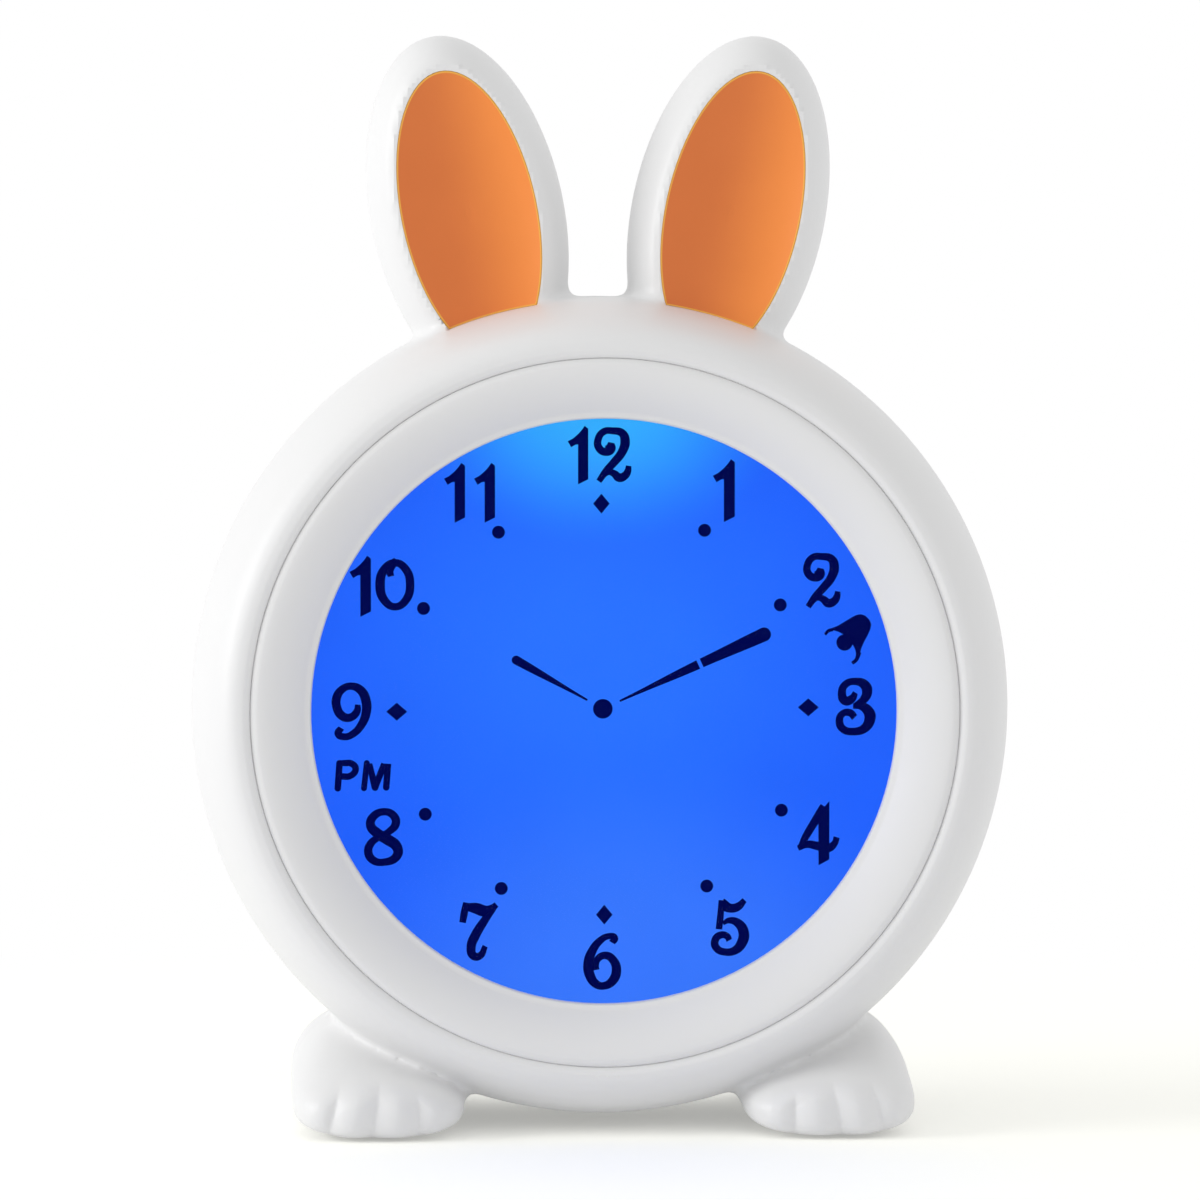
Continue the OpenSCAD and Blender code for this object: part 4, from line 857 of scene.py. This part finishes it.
# ---- Circuit boards ----------------------------------------------------------------------------
# The main board, two key boards, a lamp board in each ear and the strip of lamps over the display: glass
# epoxy with fine tracks under its lacquer. Chips, headers, switches and lamps are soldered on.

TRACK_SCALE, TRACK_W, TRACK_SHADE = 160, 0.035, 0.6


def on_piece(material):
    """The places on a piece that a moulded finish reads."""
    return material.node_tree.nodes["Texture Coordinate"].outputs["Object"]


def painted(material, mask, colour):
    """Puts a colour over a finish where the mask is 1."""
    base = shader_of(material).inputs["Base Color"]
    over = between(material.node_tree, mask, base.links[0].from_socket, (*colour, 1))
    material.node_tree.links.new(over, base)


def circuit_board(name, lacquer, track):
    """Board lacquer with tracks that stand out a little and a fine weave below them."""
    board = moulded(name, lacquer, rough=0.32, grain=0.05, grain_size=0.3, tone=0.08, patch=9)
    turn = add(board.node_tree, "ShaderNodeMapping", Vector=on_piece(board), Rotation=(math.pi / 2, 0, 0))
    tracks = add(board.node_tree, "ShaderNodeTexBrick", Vector=turn.outputs[0], Scale=TRACK_SCALE,
                 Mortar_Size=TRACK_W, Mortar_Smooth=0.2)
    painted(board, reckon(board.node_tree, "MULTIPLY", tracks.outputs["Fac"], TRACK_SHADE), track)
    return board


def lamp_body(name, colour, strength):
    """A small lamp of clear resin over its glowing chip."""
    lamp = moulded(name, colour, rough=0.15, grain=0.02, tone=0.05, patch=1)
    fit(shader_of(lamp), Emission_Color=(*colour, 1), Emission_Strength=strength)
    return lamp


board_green = circuit_board("board_green", (0.008, 0.09, 0.03), (0.03, 0.19, 0.06))
board_white = circuit_board("board_white", (0.7, 0.7, 0.67), (0.6, 0.6, 0.56))
finish(board_green, "main_board", "key_board_left", "key_board_right")
finish(board_white, "backlight_board", "ear_board_left", "ear_board_right")
finish(lamp_body("lamp_blue", (0.25, 0.55, 1), 2), "backlight_leds")
finish(lamp_body("lamp_amber", (1, 0.4, 0.06), 1), "ear_leds")
finish(moulded("chip_black", (0.012, 0.012, 0.013), rough=0.45, grain=0.15, grain_size=0.2), "controller_chip",
       "board_components")
finish(moulded("header_ivory", (0.68, 0.64, 0.5), rough=0.4, grain=0.05), "wire_headers")

zebra = moulded("connector_grey", (0.3, 0.3, 0.31), rough=0.6, grain=0.05)
bands = add(zebra.node_tree, "ShaderNodeTexWave", Vector=on_piece(zebra), Scale=1500, bands_direction="X")
painted(zebra, bands.outputs["Fac"], (0.03, 0.03, 0.03))
finish(zebra, "lcd_connector")

# ---- Screws ------------------------------------------------------------------------------------
# Zinc-plated steel screws: five long ones for the casing, short ones for display, boards, keys, ears
# and loudspeaker, and the battery door's captive screw.

steel = moulded("steel", (0.56, 0.57, 0.58), rough=0.28, grain=0.1, grain_size=0.25, tone=0.06, patch=2,
                metal=1.0)
finish(steel, "shell_screws", "frame_screws", "board_screws", "key_board_screws", "ear_board_screws",
       "speaker_screws", "door_screw", "alarm_switch_body")

# ---- Buttons -----------------------------------------------------------------------------------
# Six round keys in two columns, soft grey, each pressing a black plunger in a small switch. A slide
# switch with a ribbed black knob sets the alarm, and the black power inlet sits across from it.

key_grey = moulded("key_grey", (0.42, 0.43, 0.45), rough=0.48, grain=0.12, grain_size=0.5, tone=0.03, patch=4)
plunger_black = moulded("plunger_black", (0.02, 0.02, 0.021), rough=0.4, grain=0.08)
for key in ("time", "alarm", "snooze", "light", "up", "down"):
    finish(key_grey, key + "_button")
    finish(plunger_black, key + "_plunger")
switch_black = moulded("switch_black", (0.016, 0.016, 0.017), rough=0.42, grain=0.12, grain_size=0.4)
finish(switch_black, "tact_switches", "alarm_switch_knob", "dc_jack")

# ---- Loudspeaker -------------------------------------------------------------------------------
# A 36 mm loudspeaker on a foam gasket: black steel basket, ferrite magnet, foam surround and a paper
# cone.

finish(moulded("basket_black", (0.02, 0.02, 0.022), rough=0.4, grain=0.1, metal=0.3), "speaker_frame")
finish(moulded("magnet_grey", (0.075, 0.075, 0.08), rough=0.6, grain=0.3, grain_size=0.5, metal=0.2),
       "speaker_magnet")
finish(moulded("foam_black", (0.014, 0.014, 0.015), rough=0.9, grain=0.6, grain_size=0.5), "speaker_gasket",
       "speaker_surround")
finish(moulded("cone_paper", (0.09, 0.085, 0.08), rough=0.85, grain=0.5, grain_size=0.7, tone=0.25, patch=1.5),
       "speaker_cone")

# ---- Battery compartment -----------------------------------------------------------------------
# A door held by a tongue and a captive screw, moulded like the casing with rounded edges and five grip
# ridges, over three cells with nickel springs and contact plates.

DOOR_LOW, DOOR_HIGH = (-30.5, -49.45), (30.5, 0.45)
TONGUE_LOW, TONGUE_HIGH = (-7, -1.5), (7, 9.5)
DOOR_OUT, DOOR_IN, DOOR_ROUND = -30, -28.1, 0.45
SCREW_Y, SCREW_HOLE, HOLE_BEVEL = 3.85, 2.75, 0.3
RIDGE_Y, RIDGE_STEP, RIDGE_HALF_W, RIDGE_HALF_H = -36.5, 1.8, 8, 0.4


def block(name, low, high, rounding=0, segments=5):
    """A box between two corners, with its edges rounded."""
    low, high = at(*low), at(*high)
    bpy.ops.mesh.primitive_cube_add(size=1, location=(low + high) / 2)
    piece = bpy.context.object
    piece.name = name
    piece.scale = [abs(v) for v in high - low]
    settle(piece)
    if rounding:
        apply(piece, "BEVEL", width=rounding * MM, segments=segments)
    return piece


door = block("door", (*DOOR_LOW, DOOR_OUT), (*DOOR_HIGH, DOOR_IN), DOOR_ROUND)
cut(door, block("tongue", (*TONGUE_LOW, DOOR_OUT), (*TONGUE_HIGH, DOOR_IN), DOOR_ROUND), "UNION")
cut(door, turned("screw_hole", [(0, DOOR_OUT - 1), (SCREW_HOLE + HOLE_BEVEL, DOOR_OUT - 1),
                                (SCREW_HOLE + HOLE_BEVEL, DOOR_OUT), (SCREW_HOLE, DOOR_OUT + HOLE_BEVEL),
                                (SCREW_HOLE, DOOR_IN + 1), (0, DOOR_IN + 1)], SCREW_Y))
for k in range(-2, 3):
    middle = RIDGE_Y + k * RIDGE_STEP
    cut(door, block("ridge", (-RIDGE_HALF_W, middle - RIDGE_HALF_H, DOOR_OUT - 0.4),
                    (RIDGE_HALF_W, middle + RIDGE_HALF_H, DOOR_OUT + 0.8), 0.3, 3), "UNION")
cut(door, inside("battery_door", "door_hooks", block("hook_room", (-31, -50, DOOR_IN - 0.1), (31, 11, -20))),
    "UNION")
finish(shell_white, door)
smooth(door)
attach(door, "door")
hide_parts("battery_door")

finish(moulded("nickel", (0.66, 0.62, 0.55), rough=0.25, grain=0.05, tone=0.05, patch=2, metal=1.0),
       "battery_springs", "battery_contacts")
STRIPE_RATE, STRIPE_FROM, STRIPE_FULL = 260, 0.93, 0.95
cell_skin = moulded("cell_skin", (0.03, 0.05, 0.09), rough=0.25, grain=0.02, tone=0.04, patch=6, specular=0.6)
tree = cell_skin.node_tree
along = add(tree, "ShaderNodeSeparateXYZ", Vector=on_piece(cell_skin)).outputs["X"]
wave = reckon(tree, "SINE", reckon(tree, "MULTIPLY", along, STRIPE_RATE))
stripes = add(tree, "ShaderNodeMapRange", Value=wave, From_Min=STRIPE_FROM, From_Max=STRIPE_FULL)
painted(cell_skin, stripes.outputs["Result"], (0.45, 0.3, 0.12))
finish(cell_skin, "batteries")

# ---- Pads and leads ----------------------------------------------------------------------------
# Four rubber pads pressed into the soles, and thin PVC leads between the boards.

finish(moulded("pad_rubber", (0.05, 0.05, 0.052), rough=0.8, grain=0.4, grain_size=0.6), "foot_pads")
for lead, colour in (("power", (0.5, 0.02, 0.02)), ("speaker", (0.25, 0.25, 0.26)), ("key", (0.3, 0.3, 0.31)),
                     ("ear", (0.75, 0.24, 0.03))):
    finish(moulded(lead + "_lead", colour, rough=0.35, grain=0.05, grain_size=0.3, tone=0.05, patch=3),
           lead + "_wires")
